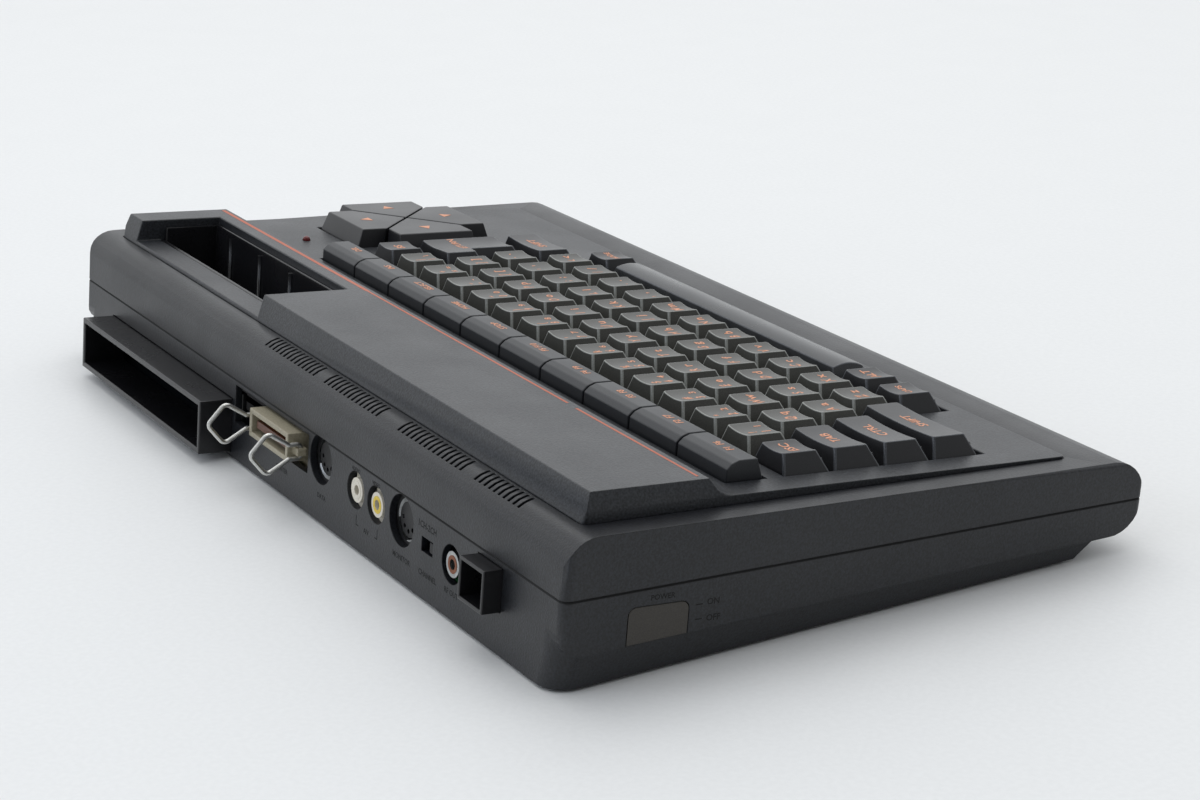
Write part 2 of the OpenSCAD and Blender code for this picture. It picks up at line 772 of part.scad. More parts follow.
module rear_slot_sleeve() {
    y0 = inner_back - sleeve_flange_t;
    y1 = back_reach + sleeve_proud;
    color("#34353a")
    on_table() translate([sleeve_x, 0, -sleeve_drop]) difference() {
        union() {
            block([-sleeve_w / 2, y0, -sleeve_h / 2], [sleeve_w / 2, y1, sleeve_h / 2]);
            block([-sleeve_w / 2 - sleeve_flange, y0, -sleeve_h / 2],
                [sleeve_w / 2 + sleeve_flange, inner_back, sleeve_h / 2 + sleeve_flange]);
        }
        block([-sleeve_w / 2 + sleeve_wall, y0 - 1, -sleeve_h / 2 + sleeve_wall],
            [sleeve_w / 2 - sleeve_wall, y1 + 1, sleeve_h / 2 - sleeve_wall]);
    }
}

// ---- Boards ----

module main_board() {
    color("#2f6b3f")
    on_table() difference() {
        block([-main_half, main_board_front, board_under], [main_half, main_back, main_top]);
        block([sleeve_x - sleeve_w / 2 - 4, notch_y, board_under - 1],
            [sleeve_x + sleeve_w / 2 + 4, main_back + 1, main_top + 1]);
        for (p = main_posts) disc(p.x, p.y, board_under - 1, main_top + 1, screw_bore + 0.2);
    }
}

// Chips on the main board: x and y of the middle, length and width
chips = concat([[-128, 36, 52, 14], [-62, 42, 42, 15], [-4, 36, 36, 14], [70, 36, 36, 14],
    [118, 36, 36, 14]], [for (i = [0:7]) [-86 + 13.5 * i, 61, 6.8, 19]]);
// Upright capacitors: x, y, diameter and height
cans = [[-172, 38, 5, 9], [-160, 34.5, 5, 11], [-97, 52, 6.3, 11], [-30, 44, 8, 12], [24, 60, 6.3, 11],
    [34, 55, 5, 9]];

module board_parts() {
    color("#222224")
    on_table() {
        for (c = chips) block([c[0] - c[2] / 2, c[1] - c[3] / 2, main_top],
            [c[0] + c[2] / 2, c[1] + c[3] / 2, main_top + 4.2]);
        for (c = cans) disc(c[0], c[1], main_top, main_top + c[3], c[2]);
        // Crystal and ribbon header
        block([18, 34, main_top], [29, 38, main_top + 8]);
        block([header_x - header_w / 2, header_y - 2.5, main_top], [header_x + header_w / 2, header_y + 2.5,
            main_top + header_h]);
    }
}

header_x = 32;
header_w = 34;
header_y = 46;
header_h = 6;

module keyboard_ribbon() {
    under = -key_board_drop - board_t;
    bend = main_top + header_h + 4;
    y = frame_back - 8;
    color("#b9b4a6")
    on_table() across(header_w - 4, header_x) polygon([[y, under], [y, under - 4], [header_y - 0.5, bend],
        [header_y - 0.5, main_top + header_h], [header_y + 0.5, main_top + header_h],
        [header_y + 0.5, bend + 0.6], [y + 1, under - 3.4], [y + 1, under]]);
}

module heat_sink() {
    x0 = -162;
    y0 = 45;
    w = 22;
    color("lightgray")
    on_table() translate([x0, y0, main_top]) {
        cube([w, 3, 16]);
        for (i = [0:4]) translate([i * (w - 1.6) / 4, 3, 0]) cube([1.6, 13, 16]);
    }
}

module key_frame() {
    collar = stem + 2 * (stem_gap + collar_wall);
    under = frame_top - frame_t;
    color("#2b2c30")
    on_table() difference() {
        union() {
            block([-frame_half, frame_front, under], [frame_half, frame_back, frame_top]);
            difference() {
                block([-frame_half, frame_front, -key_board_drop], [frame_half, frame_back, under + 0.1]);
                block([-frame_half + frame_rim, frame_front + frame_rim, -key_board_drop - 1],
                    [frame_half - frame_rim, frame_back - frame_rim, under + 1]);
            }
            for (s = stems) block([s.x - collar / 2, s.y - collar / 2, under],
                [s.x + collar / 2, s.y + collar / 2, frame_top + collar_h]);
        }
        for (s = stems) block([s.x - stem / 2 - stem_gap, s.y - stem / 2 - stem_gap, -30],
            [s.x + stem / 2 + stem_gap, s.y + stem / 2 + stem_gap, 10]);
        disc(led_x, led_y, frame_top - frame_t - 1, 10, led_d + 1);
    }
}

module contact_sheet() {
    g = frame_rim + fit;
    color("#c9c4b4")
    on_table() difference() {
        union() {
            block([-frame_half + g, frame_front + g, -key_board_drop],
                [frame_half - g, frame_back - g, -key_board_drop + pad_sheet_t]);
            for (s = stems) block([s.x - pad_w / 2, s.y - pad_w / 2, -key_board_drop],
                [s.x + pad_w / 2, s.y + pad_w / 2, -key_board_drop + pad_sheet_t + pad_t]);
        }
        for (x = key_post_x) for (y = key_post_y) disc(x, y, -30, 0, screw_head_d + 0.6);
        disc(led_x, led_y, -30, 0, 6);
    }
}

module keyboard_board() {
    color("#8a6b3a")
    on_table() difference() {
        block([-frame_half, frame_front, -key_board_drop - board_t],
            [frame_half, frame_back, -key_board_drop]);
        for (x = key_post_x) for (y = key_post_y) disc(x, y, -30, 0, screw_bore + 0.2);
    }
}

led_pitch = 0.9;

module power_light() {
    color("#b01818")
    on_table() {
        disc(led_x, led_y, -4.5, 0.2, led_d);
        translate([led_x, led_y, 0.2]) intersection() {
            sphere(d = led_d);
            translate([0, 0, led_d / 2]) cube(led_d, center = true);
        }
        for (dx = [-1, 1]) disc(led_x + dx * led_pitch, led_y, -key_board_drop, -4, 0.6);
    }
}

// ---- Keys ----

// A cap over the cells x0..x1, y0..y1, drawn in by d
module cap_block(x0, x1, y0, y1, d) {
    g = key_gap / 2 + d;
    lo = -key_skirt - (d > 0 ? 1 : 0);
    hi = key_top - d;
    slope = (hi - lo) / (key_top + key_skirt);
    intersection() {
        along(y0, y1) polygon([[x0 + g, lo], [x1 - g, lo],
            [x1 - g - key_lean * slope, hi], [x0 + g + key_lean * slope, hi]]);
        across(x1 - x0, (x0 + x1) / 2) polygon([[y0 + g, lo], [y1 - g, lo],
            [y1 - g - key_back_lean * slope, hi], [y0 + g + key_front_lean * slope, hi]]);
    }
}

// Cuts the hollow of a key top: a round trough from front to back
module dish_cut(x0, x1, y0, y1) {
    half_top = (x1 - x0) / 2 - key_gap / 2 - key_lean;
    r = (half_top * half_top + dish * dish) / (2 * dish);
    barrel((x0 + x1) / 2, key_top - dish + r, y0, y1, 2 * r, $fn = 360);
}

module key_stem(at) {
    block([at.x - stem / 2, at.y - stem / 2, stem_end],
        [at.x + stem / 2, at.y + stem / 2, key_top - cap_wall - dish / 2 + 0.3]);
}

module key(x0, x1, y0, y1) {
    difference() {
        cap_block(x0, x1, y0, y1, 0);
        cap_block(x0, x1, y0, y1, cap_wall + dish / 2);
        dish_cut(x0, x1, y0, y1);
    }
    key_stem([(x0 + x1) / 2, y1 - stem_back]);
}

module black_key(k) {
    color("#3d3f43")
    on_table() key(cell_x(k[2]), cell_x(k[3]), row_back(k[1] + 1), row_back(k[1]));
}

module grey_row(g) {
    color("#77776f")
    on_table() for (i = [0:g[3] - 1])
        key(cell_x(g[2] + i), cell_x(g[2] + i + 1), row_back(g[1] + 1), row_back(g[1]));
}

module space_bar() {
    x0 = cell_x(space_cells[0]);
    x1 = cell_x(space_cells[1]);
    y0 = row_back(row_count + 1);
    y1 = row_back(row_count);
    color("#3d3f43")
    on_table() {
        difference() {
            cap_block(x0, x1, y0, y1, 0);
            cap_block(x0, x1, y0, y1, cap_wall);
        }
        for (s = space_stem_places) block([s.x - stem / 2, s.y - stem / 2, stem_end],
            [s.x + stem / 2, s.y + stem / 2, key_top - cap_wall + 0.1]);
    }
}

module return_key() {
    x1 = cell_x(block_end);
    color("#3d3f43")
    on_table() {
        difference() {
            union() {
                cap_block(cell_x(return_lower), x1, row_back(4), row_back(2), 0);
                cap_block(cell_x(return_upper), x1, row_back(3), row_back(2), 0);
            }
            cap_block(cell_x(return_lower), x1, row_back(4), row_back(2), cap_wall + dish / 2);
            dish_cut(cell_x(return_lower), x1, row_back(4), row_back(2));
        }
        key_stem(return_stem);
    }
}

// Side view of a function key, drawn in by d
function function_view(d) = [[function_front + d, -key_skirt - d],
    [function_front + 3.2 + d, function_top - d], [function_back - 4.2 - d / 2, function_top - d],
    [function_back - 1.8 - d, key_top - 0.4 - d],
    [function_back - d, key_top - 2.1 - d], [function_back - d, -key_skirt - d]];

module function_key(i) {
    x0 = cell_x(function_pitch * i) + key_gap / 2;
    x1 = cell_x(function_pitch * (i + 1)) - key_gap / 2;
    s = function_stems[i];
    color("#55575a")
    on_table() {
        difference() {
            across(x1 - x0, (x0 + x1) / 2) polygon(function_view(0));
            across(x1 - x0 - 2 * cap_wall, (x0 + x1) / 2) polygon(function_view(cap_wall));
        }
        block([s.x - stem / 2, s.y - stem / 2, stem_end],
            [s.x + stem / 2, s.y + stem / 2, function_top - cap_wall + 0.1]);
    }
}

// A cursor key pointing to +y from the middle of the cross, drawn in by d
module cursor_block(d) {
    h = cursor_half - d;
    tip = cursor_gap + d * 1.4;
    lo = -key_skirt - (d > 0 ? 1 : 0);
    hi = cursor_top - d;
    end = cursor_reach - d;
    intersection() {
        translate([0, 0, lo]) linear_extrude(hi - lo)
            polygon([[0, tip], [h, h + tip], [h, end], [-h, end], [-h, h + tip]]);
        along(0, end) polygon([[-h, lo], [h, lo], [h - cursor_lean, hi], [-h + cursor_lean, hi]]);
        across(2 * h) polygon([[0, lo], [end, lo], [end - cursor_end_lean, hi], [0, hi]]);
    }
}

module cursor_key(i) {
    color("#3d3f43")
    on_table() {
        translate([cursor_x, cursor_y, 0]) rotate(90 * i) difference() {
            cursor_block(0);
            cursor_block(cap_wall);
        }
        block([cursor_stems[i].x - stem / 2, cursor_stems[i].y - stem / 2, stem_end],
            [cursor_stems[i].x + stem / 2, cursor_stems[i].y + stem / 2, cursor_top - cap_wall + 0.1]);
    }
}

// ---- Sockets at the back ----

module din_sockets() {
    y1 = inner_back - fit;
    color("#1b1b1d")
    on_table() for (p = [data_din, av_din]) difference() {
        block([p.x - din_block_w / 2, y1 - din_block_l, main_top], [p.x + din_block_w / 2, y1, p.y + 7.9]);
        // Groove for the plug's shell, then the pin holes
        difference() {
            barrel(p.x, p.y, y1 - 8, y1 + 1, 14.2);
            barrel(p.x, p.y, y1 - 9, y1 + 2, 11.6);
        }
        for (a = [0:45:180]) barrel(p.x + 3.8 * cos(a), p.y - 3.8 * sin(a), y1 - 7, y1 + 1, 1.5, $fn = 16);
    }
}

// A phono socket: body on the board, round barrel in the back wall's hole
module phono(p, colour) {
    y1 = back_reach - 0.4;
    y0 = inner_back - fit;
    color(colour)
    on_table() difference() {
        union() {
            block([p.x - phono_block_w / 2, y0 - phono_block_l, main_top],
                [p.x + phono_block_w / 2, y0, p.y + 6]);
            barrel(p.x, p.y, y0 - 1, y1, phono_d);
        }
        barrel(p.x, p.y, y1 - 9, y1 + 1, 3.3, $fn = 24);
    }
}

module audio_jack() {
    phono(audio_at, "#e8e6df");
}

module video_jack() {
    phono(video_at, "#e3cf62");
}

module rf_jack() {
    y0 = can_y[1];
    y1 = back_reach - 0.4;
    color("silver")
    on_table() difference() {
        union() {
            barrel(rf_at.x, rf_at.y, y0, y0 + 2, 11);
            barrel(rf_at.x, rf_at.y, y0, y1, phono_d);
        }
        barrel(rf_at.x, rf_at.y, y1 - 6, y1 + 1, 3.3, $fn = 24);
    }
}

module rf_modulator() {
    color("silver")
    on_table() block([can_x[0], can_y[0], main_top], [can_x[1], can_y[1], main_top + can_h]);
}

module channel_switch() {
    y0 = can_y[1];
    y1 = inner_back - fit;
    w = channel_hole.x + 5;
    h = channel_hole.y + 3;
    color("#2a2a2c")
    on_table() translate([channel_at.x, 0, channel_at.y]) difference() {
        block([-w / 2, y0, -h / 2], [w / 2, y1, h / 2]);
        block([-channel_hole.x / 2, y1 - 3.5, -channel_hole.y / 2],
            [channel_hole.x / 2, y1 + 1, channel_hole.y / 2]);
    }
}

module channel_slider() {
    y0 = inner_back - fit - 3.5 + run;
    y1 = back_reach - 0.5;
    x = channel_at.x - channel_travel / 2;
    color("#111112")
    on_table() block([x - slider_w / 2, y0, channel_at.y - slider_h / 2],
        [x + slider_w / 2, y1, channel_at.y + slider_h / 2]);
}

module power_inlet() {
    y0 = inner_back - 18;
    y1 = back_reach + inlet_proud;
    w = inlet_w;
    h = inlet_h;
    depth = 14;
    color("#202022")
    on_table() translate([inlet_at.x, 0, inlet_at.y]) {
        difference() {
            union() {
                block([-w / 2, y0, -h / 2], [w / 2, y1, h / 2]);
                block([-w / 2, y0, main_top - inlet_at.y], [w / 2, y0 + 12, -h / 2 + 1]);
            }
            block([-w / 2 + 1.2, y1 - depth, -h / 2 + 1.2], [w / 2 - 1.2, y1 + 1, h / 2 - 1.2]);
        }
        for (x = [-3, 3]) barrel(x, 0, y1 - depth - 1, y1 - depth + 6, 2, $fn = 24);
    }
}

module printer_connector() {
    y1 = back_reach + printer_proud;
    y0 = y1 - 20;
    w = printer_w;
    h = printer_h;
    ear_h = 1.4;
    color("#d8d3c0")
    on_table() translate([printer_at.x, 0, 0]) difference() {
        union() {
            block([-w / 2, y0, printer_at.y - h / 2], [w / 2, y1, printer_at.y + h / 2]);
            block([-w / 2 + 2, y0, main_top], [w / 2 - 2, inner_back - 2, printer_at.y - h / 2 + 1]);
            for (sx = [-1, 1]) block([sx > 0 ? w / 2 - 0.5 : -w / 2 - bail_out - 1.6, bail_root - 1.8,
                bail_z - ear_h], [sx > 0 ? w / 2 + bail_out + 1.6 : -w / 2 + 0.5, bail_root + 1.8,
                bail_z + ear_h]);
        }
        block([-w / 2 + 2, y1 - printer_mouth, printer_at.y - h / 2 + 1.8],
            [w / 2 - 2, y1 + 1, printer_at.y + h / 2 - 1.8]);
        for (sx = [-1, 1]) disc(sx * (w / 2 + bail_out), bail_root, bail_z - 5, bail_z + 5, bail_wire + 0.3);
    }
}

module printer_insert() {
    y1 = back_reach + printer_proud;
    color("#b5772c")
    on_table() translate([printer_at.x, 0, printer_at.y])
        block([-printer_w / 2 + 4, y1 - printer_mouth, -1.3], [printer_w / 2 - 4, y1 - 1.2, 1.3]);
}

// The line of one bail, as [y, z] from the middle of its ear: stub in the ear, neck and half the bow
bail_half = concat([[bail_root, 0.5]],
    arc([bail_root + bail_bend, bail_neck - bail_bend], bail_bend, 180, 90, 4),
    [[bail_root + 4.2, bail_neck]],
    arc([bail_bow_y, bail_side - bail_corner_r], bail_corner_r, bail_open, bail_close, 6),
    arc([bail_bow_y + bail_r - bail_tip_r, 0], bail_tip_r, bail_close, 0, 4));
bail_line = concat(bail_half, [for (i = [len(bail_half) - 2:-1:0]) [bail_half[i].x, -bail_half[i].y]]);

// Direction of the line at point i, between its two stretches
function unit(v) = v / norm(v);
function heading(i) = let (n = len(bail_line), p = bail_line)
    unit((i < n - 1 ? unit(p[i + 1] - p[i]) : [0, 0]) + (i > 0 ? unit(p[i] - p[i - 1]) : [0, 0]));

// Wire bail: one wire swept along its line, with both ends upright in the ear
module bail(sx) {
    n = len(bail_line);
    k = wire_sides;
    points = [for (i = [0:n - 1]) let (p = bail_line[i], h = heading(i)) for (j = [0:k - 1])
        let (a = 360 * j / k) [sin(a) * bail_wire / 2, p.x - h.y * cos(a) * bail_wire / 2,
            p.y + h.x * cos(a) * bail_wire / 2]];
    faces = concat(
        [for (i = [0:n - 2]) for (j = [0:k - 1]) let (q = (j + 1) % k)
            [i * k + j, (i + 1) * k + j, i * k + q]],
        [for (i = [0:n - 2]) for (j = [0:k - 1]) let (q = (j + 1) % k)
            [i * k + q, (i + 1) * k + j, (i + 1) * k + q]],
        [for (j = [1:k - 2]) [0, j, j + 1]],
        [for (j = [1:k - 2]) [(n - 1) * k, (n - 1) * k + j + 1, (n - 1) * k + j]]);
    color("#c8c8c6")
    on_table() translate([printer_at.x + sx * (printer_w / 2 + bail_out), 0, bail_z])
        polyhedron(points, faces);
}

module bail_left() {
    bail(-1);
}

module bail_right() {
    bail(1);
}

// ---- Power button and ports on the sides ----

module power_switch() {
    hole = button_rod + 0.6;
    color("#1b1b1d")
    on_table() difference() {
        block([switch_x, button_y - 8, main_top], [switch_x + 16, button_y + 8, button_z + 5]);
        block([switch_x - 1, button_y - hole / 2, button_z - hole / 2],
            [switch_x + 11, button_y + hole / 2, button_z + hole / 2]);
    }
}

module power_button() {
    x_in = -half_w + wall + run;
    y0 = button_y - button_l / 2 - button_flange;
    rod = button_rod / 2;
    color("#6b655e")
    on_table() {
        across(wall + run + 0.5, x_in + 0.25 - (wall + run) / 2) polygon(button_outline(0));
        block([x_in, y0, lip_z(y0) + wall + run],
            [x_in + button_pad, y0 + button_l + 2 * button_flange, button_top + button_flange]);
        block([x_in + 1, button_y - rod, button_z - rod], [switch_x + 6, button_y + rod, button_z + rod]);
    }
}

module controller_ports() {
    x_body = half_w - plinth_foot_inset - wall - fit;
    color("#1b1b1d")
    on_table() for (y = port_y) difference() {
        union() {
            block([half_w - port_l, y - port_w / 2, main_top], [x_body, y + port_w / 2, main_top + port_h]);
            block([half_w - port_l, y - port_nose.x / 2, port_z - port_nose.y / 2],
                [half_w, y + port_nose.x / 2, port_z + port_nose.y / 2]);
        }
        block([half_w - 6, y - port_mouth.x / 2, port_z - port_mouth.y / 2],
            [half_w + 1, y + port_mouth.x / 2, port_z + port_mouth.y / 2]);
    }
}

top_case();
bottom_case();
keyboard_bezel();
cartridge_well();
cartridge_connectors();
rear_slot_sleeve();
main_board();
board_parts();
heat_sink();
rf_modulator();
rf_jack();
audio_jack();
video_jack();
din_sockets();
printer_connector();
printer_insert();
bail_left();
bail_right();
power_inlet();
channel_switch();
channel_slider();
power_switch();
power_button();
power_light();
key_frame();
contact_sheet();
keyboard_board();
keyboard_ribbon();
controller_ports();
screws();
rubber_feet();
space_bar();
return_key();
for (k = black_keys) black_key(k);
for (i = [0:9]) function_key(i);
for (i = [0:3]) cursor_key(i);
for (g = grey_rows) grey_row(g);
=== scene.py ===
import math

import bmesh
import bpy
from mathutils import Matrix, Vector


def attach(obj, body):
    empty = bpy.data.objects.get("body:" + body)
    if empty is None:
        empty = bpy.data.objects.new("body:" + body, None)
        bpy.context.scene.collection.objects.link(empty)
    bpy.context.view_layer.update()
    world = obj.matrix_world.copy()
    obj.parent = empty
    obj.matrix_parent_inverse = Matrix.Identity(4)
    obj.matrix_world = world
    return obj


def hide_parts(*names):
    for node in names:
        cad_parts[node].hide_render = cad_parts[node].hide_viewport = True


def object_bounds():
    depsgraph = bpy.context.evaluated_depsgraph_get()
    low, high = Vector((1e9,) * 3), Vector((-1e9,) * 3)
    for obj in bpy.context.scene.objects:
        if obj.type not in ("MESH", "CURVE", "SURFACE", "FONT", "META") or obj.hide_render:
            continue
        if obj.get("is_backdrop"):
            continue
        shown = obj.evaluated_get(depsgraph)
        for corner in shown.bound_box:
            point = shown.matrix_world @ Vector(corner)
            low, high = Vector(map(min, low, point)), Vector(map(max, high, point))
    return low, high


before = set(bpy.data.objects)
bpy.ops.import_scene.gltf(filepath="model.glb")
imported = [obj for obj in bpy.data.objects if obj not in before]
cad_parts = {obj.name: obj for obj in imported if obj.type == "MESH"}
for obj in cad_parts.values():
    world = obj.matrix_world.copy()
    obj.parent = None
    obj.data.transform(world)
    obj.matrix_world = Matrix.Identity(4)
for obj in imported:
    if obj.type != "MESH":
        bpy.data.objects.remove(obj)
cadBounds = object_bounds()
print("frame loaded:", len(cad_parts), "nodes")

# Nearly everything is square to the tilted deck, so new pieces are drawn in the deck's own millimetres:
# x to the right, y to the back from the number row, z up from the bezel. They are placed once, at the end.
deck = {"tilt": 5.7, "middleY": 0.007266, "height": 0.0436}  # degrees, metres, metres
toRow = (
    Matrix.Translation((0, deck["middleY"], deck["height"]))
    @ Matrix.Rotation(math.radians(deck["tilt"]), 4, "X")
    @ Matrix.Scale(0.001, 4)
)
toDeck = toRow.inverted()


def hexColor(text):
    values = [int(text[i : i + 2], 16) / 255 for i in (1, 3, 5)]
    return [v / 12.92 if v <= 0.04045 else ((v + 0.055) / 1.055) ** 2.4 for v in values] + [1]


def addNode(tree, kind, inputs={}, **settings):
    node = tree.nodes.new(kind)
    for name, value in settings.items():
        setattr(node, name, value)
    for name, value in inputs.items():
        if isinstance(value, bpy.types.NodeSocket):
            tree.links.new(value, node.inputs[name])
        else:
            node.inputs[name].default_value = value
    return node


def startMaterial(name):
    material = bpy.data.materials.new(name)
    material.use_nodes = True
    tree = material.node_tree
    tree.nodes.clear()
    return material, tree, addNode(tree, "ShaderNodeTexCoord").outputs["Object"]


cloud = 30  # millimetres over which the gloss of every material shifts slowly


def moulded(name, dark, light, roughness, grain=0.55, bump=0.35, metallic=0.0, soft=0.0):
    # grain is a real size in millimetres, that of the spark-eroded texture.
    # soft is the radius, in millimetres, that the light sees on the piece's edges.
    material, tree, place = startMaterial(name)
    fine = addNode(tree, "ShaderNodeTexNoise", {"Vector": place, "Scale": 1000 / grain, "Detail": 2.0})
    slow = addNode(tree, "ShaderNodeTexNoise", {"Vector": place, "Scale": 1000 / cloud, "Detail": 4.0})
    fleck = addNode(
        tree, "ShaderNodeMapRange",
        {"Value": fine.outputs["Fac"], "From Min": 0.35, "From Max": 0.68},
    )
    shade = addNode(
        tree, "ShaderNodeMix",
        {"Factor": fleck.outputs["Result"], "A": hexColor(dark), "B": hexColor(light)},
        data_type="RGBA",
    )
    gloss = addNode(
        tree, "ShaderNodeMapRange",
        {"Value": slow.outputs["Fac"], "From Min": 0.3, "From Max": 0.7,
         "To Min": roughness - 0.03, "To Max": roughness + 0.05},
    )
    relief = addNode(
        tree, "ShaderNodeBump",
        {"Height": fine.outputs["Fac"], "Strength": bump, "Distance": grain / 5000},
    )
    if soft:
        edge = addNode(tree, "ShaderNodeBevel", {"Radius": soft / 1000}, samples=6)
        tree.links.new(edge.outputs["Normal"], relief.inputs["Normal"])
    shader = addNode(
        tree, "ShaderNodeBsdfPrincipled",
        {"Base Color": shade.outputs["Result"], "Roughness": gloss.outputs["Result"], "Metallic": metallic,
         "Normal": relief.outputs["Normal"]},
    )
    addNode(tree, "ShaderNodeOutputMaterial", {"Surface": shader.outputs[0]})
    return material


# ABS with a spark-eroded texture: nearly black, so what is seen is its dull sheen, grey at a low angle
caseAbs = moulded("caseAbs", "#090a0d", "#1d2026", roughness=0.38, grain=0.7, bump=0.7, soft=0.5)
# The hood's moulding is a little lighter than the case
hoodAbs = moulded("hoodAbs", "#121417", "#2e3136", roughness=0.4, grain=0.75, bump=0.7, soft=0.5)
# Plain black ABS from a polished tool, which mirrors the window softly: sleeve, well and inlet
glossAbs = moulded("glossAbs", "#131315", "#19191c", roughness=0.26, grain=0.9, bump=0.12, soft=0.35)
# Textured black ABS, duller: sockets, ports and slider
blackAbs = moulded("blackAbs", "#0c0c0e", "#141416", roughness=0.48, grain=0.4)
# Key plastics, rubbed smooth by fingers: dark for the words, grey-olive for the characters
darkKeyAbs = moulded("darkKeyAbs", "#17171a", "#1f2023", roughness=0.34, grain=0.4, bump=0.2)
greyKeyAbs = moulded("greyKeyAbs", "#363632", "#43433e", roughness=0.38, grain=0.4, bump=0.2)
functionKeyAbs = moulded("functionKeyAbs", "#1f2124", "#2a2c30", roughness=0.4, grain=0.4, bump=0.2)
# The same plastics, lighter, as a painted highlight on the caps' rounded edges and corners
darkKeyHighlight = moulded("darkKeyHighlight", "#3c3e42", "#4c4f54", roughness=0.25, grain=0.4, bump=0.1)
greyKeyHighlight = moulded("greyKeyHighlight", "#7e807c", "#90928e", roughness=0.3, grain=0.4, bump=0.1)
# Polished long bar, brighter than the keys at a low angle
spaceAbs = moulded("spaceAbs", "#292b2d", "#343638", roughness=0.27, grain=0.4, bump=0.15)
# Warm brown-grey ABS of the power button
buttonAbs = moulded("buttonAbs", "#34302b", "#3f3b35", roughness=0.45, grain=0.4, bump=0.2)
# Screen-printed inks: orange stripes, peach characters, black marks on the back; the near black also paints
# shade into the parting line's groove
orangeInk = moulded("orangeInk", "#a84c2a", "#b85a36", roughness=0.5, grain=0.3, bump=0.1)
peachInk = moulded("peachInk", "#cc8662", "#da9876", roughness=0.5, grain=0.3, bump=0.1)
blackMarksAndGrooveShade = moulded("blackMarksAndGrooveShade", "#030303", "#050505", roughness=0.75, grain=0.3, bump=0.1)
# Tinned sheet of the aerial can and jack, with a soft grey shine
tinPlate = moulded("tinPlate", "#a2a4a4", "#b4b6b6", roughness=0.32, grain=1.2, bump=0.1, metallic=1.0)
# Plated spring wire, worn to a satin pale grey
bailSteel = moulded("bailSteel", "#c6c6c2", "#d6d6d2", roughness=0.36, grain=0.8, bump=0.05, metallic=1.0)
# Bare copper of the aerial jack's pin
copperPin = moulded("copperPin", "#7a4c38", "#8a5a44", roughness=0.35, grain=0.5, bump=0.1, metallic=1.0)
# Zinc plating of the screws and bare aluminium of the fins
screwZinc = moulded("screwZinc", "#8f9193", "#a2a4a6", roughness=0.35, grain=0.5, bump=0.1, metallic=1.0)
finAluminium = moulded("finAluminium", "#a6a8aa", "#b6b8ba", roughness=0.4, grain=0.6, bump=0.1, metallic=1.0)
# Connector plastics: the jacks' white and yellow, the printer socket's cream and its brown insert
whiteNylon = moulded("whiteNylon", "#cfc9ba", "#dcd6c8", roughness=0.4, grain=0.7, bump=0.1)
yellowNylon = moulded("yellowNylon", "#cdb02e", "#dcc040", roughness=0.4, grain=0.7, bump=0.1)
creamNylon = moulded("creamNylon", "#8f8874", "#a09984", roughness=0.4, grain=0.7, bump=0.15, soft=0.5)
amberPhenolic = moulded("amberPhenolic", "#4a2410", "#5c3016", roughness=0.35, grain=0.8, bump=0.15)
# Laminates of the two boards, green under lacquer and plain brown
greenLaminate = moulded("greenLaminate", "#1f4a2a", "#2a5a36", roughness=0.35, grain=0.8, bump=0.15)
brownLaminate = moulded("brownLaminate", "#7a5a32", "#8a683c", roughness=0.5, grain=0.8, bump=0.2)
# Moulded black epoxy of the chips, with a fine matt surface
epoxy = moulded("epoxy", "#141415", "#1c1c1e", roughness=0.45, grain=0.3, bump=0.2)
# Soft parts: milky contact sheet, ribbon and the black rubber of the feet, which shows no shine
silicone = moulded("silicone", "#b0aa98", "#bcb6a4", roughness=0.6, grain=0.8, bump=0.15)
ribbonVinyl = moulded("ribbonVinyl", "#a29c8a", "#b0aa98", roughness=0.45, grain=0.8, bump=0.1)
footRubber = moulded("footRubber", "#151516", "#1d1d1e", roughness=0.8, grain=0.5, bump=0.5)
# Smooth red lens of the power light
redLens = moulded("redLens", "#5a0e0e", "#6c1414", roughness=0.15, grain=2, bump=0.02)
print("materials made:", len(bpy.data.materials))


def boxBetween(bm, low, high):
    for v in bmesh.ops.create_cube(bm, size=1)["verts"]:
        v.co = Vector([a + (b - a) * (c + 0.5) for a, b, c in zip(low, high, v.co)])


def roundEdges(bm, edges, width, segments=2, material=-1, clamp=True):
    bmesh.ops.bevel(
        bm, geom=edges, offset=width, segments=segments, affect="EDGES", profile=0.5,
        clamp_overlap=clamp, material=material,
    )


def pour(target, source):
    mesh = bpy.data.meshes.new("poured")
    source.to_mesh(mesh)
    source.free()
    target.from_mesh(mesh)
    bpy.data.meshes.remove(mesh)


sharpFrom = 38  # degrees at which shading breaks


def addPiece(bm, name, materials, body, stands):
    bmesh.ops.transform(bm, matrix=toRow, verts=bm.verts)
    bmesh.ops.recalc_face_normals(bm, faces=bm.faces)
    mesh = bpy.data.meshes.new(name)
    bm.to_mesh(mesh)
    bm.free()
    for material in materials:
        mesh.materials.append(material)
    mesh.shade_smooth()
    mesh.set_sharp_from_angle(angle=math.radians(sharpFrom))
    piece = bpy.data.objects.new(name, mesh)
    bpy.context.collection.objects.link(piece)
    even = piece.modifiers.new("evenNormals", "WEIGHTED_NORMAL")
    even.keep_sharp = True
    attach(piece, body)
    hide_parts(*stands)


case = {"back": 87.6, "side": -191.5, "parting": -19.0, "slope": -0.04366, "groove": 0.4, "middleY": -20}
copies = {"join": 0.002, "flat": 0.6}  # vertices this near are one, and faces this many degrees apart


def copyOf(node):
    # A copy of a CAD node in the deck's millimetres, with its flat faces whole again
    bm = bmesh.new()
    bm.from_mesh(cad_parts[node].data)
    bmesh.ops.transform(bm, matrix=toDeck, verts=bm.verts)
    bmesh.ops.remove_doubles(bm, verts=bm.verts, dist=copies["join"])
    bmesh.ops.dissolve_limit(bm, angle_limit=math.radians(copies["flat"]), verts=bm.verts, edges=bm.edges)
    for f in bm.faces:
        f.material_index = 0
    return bm


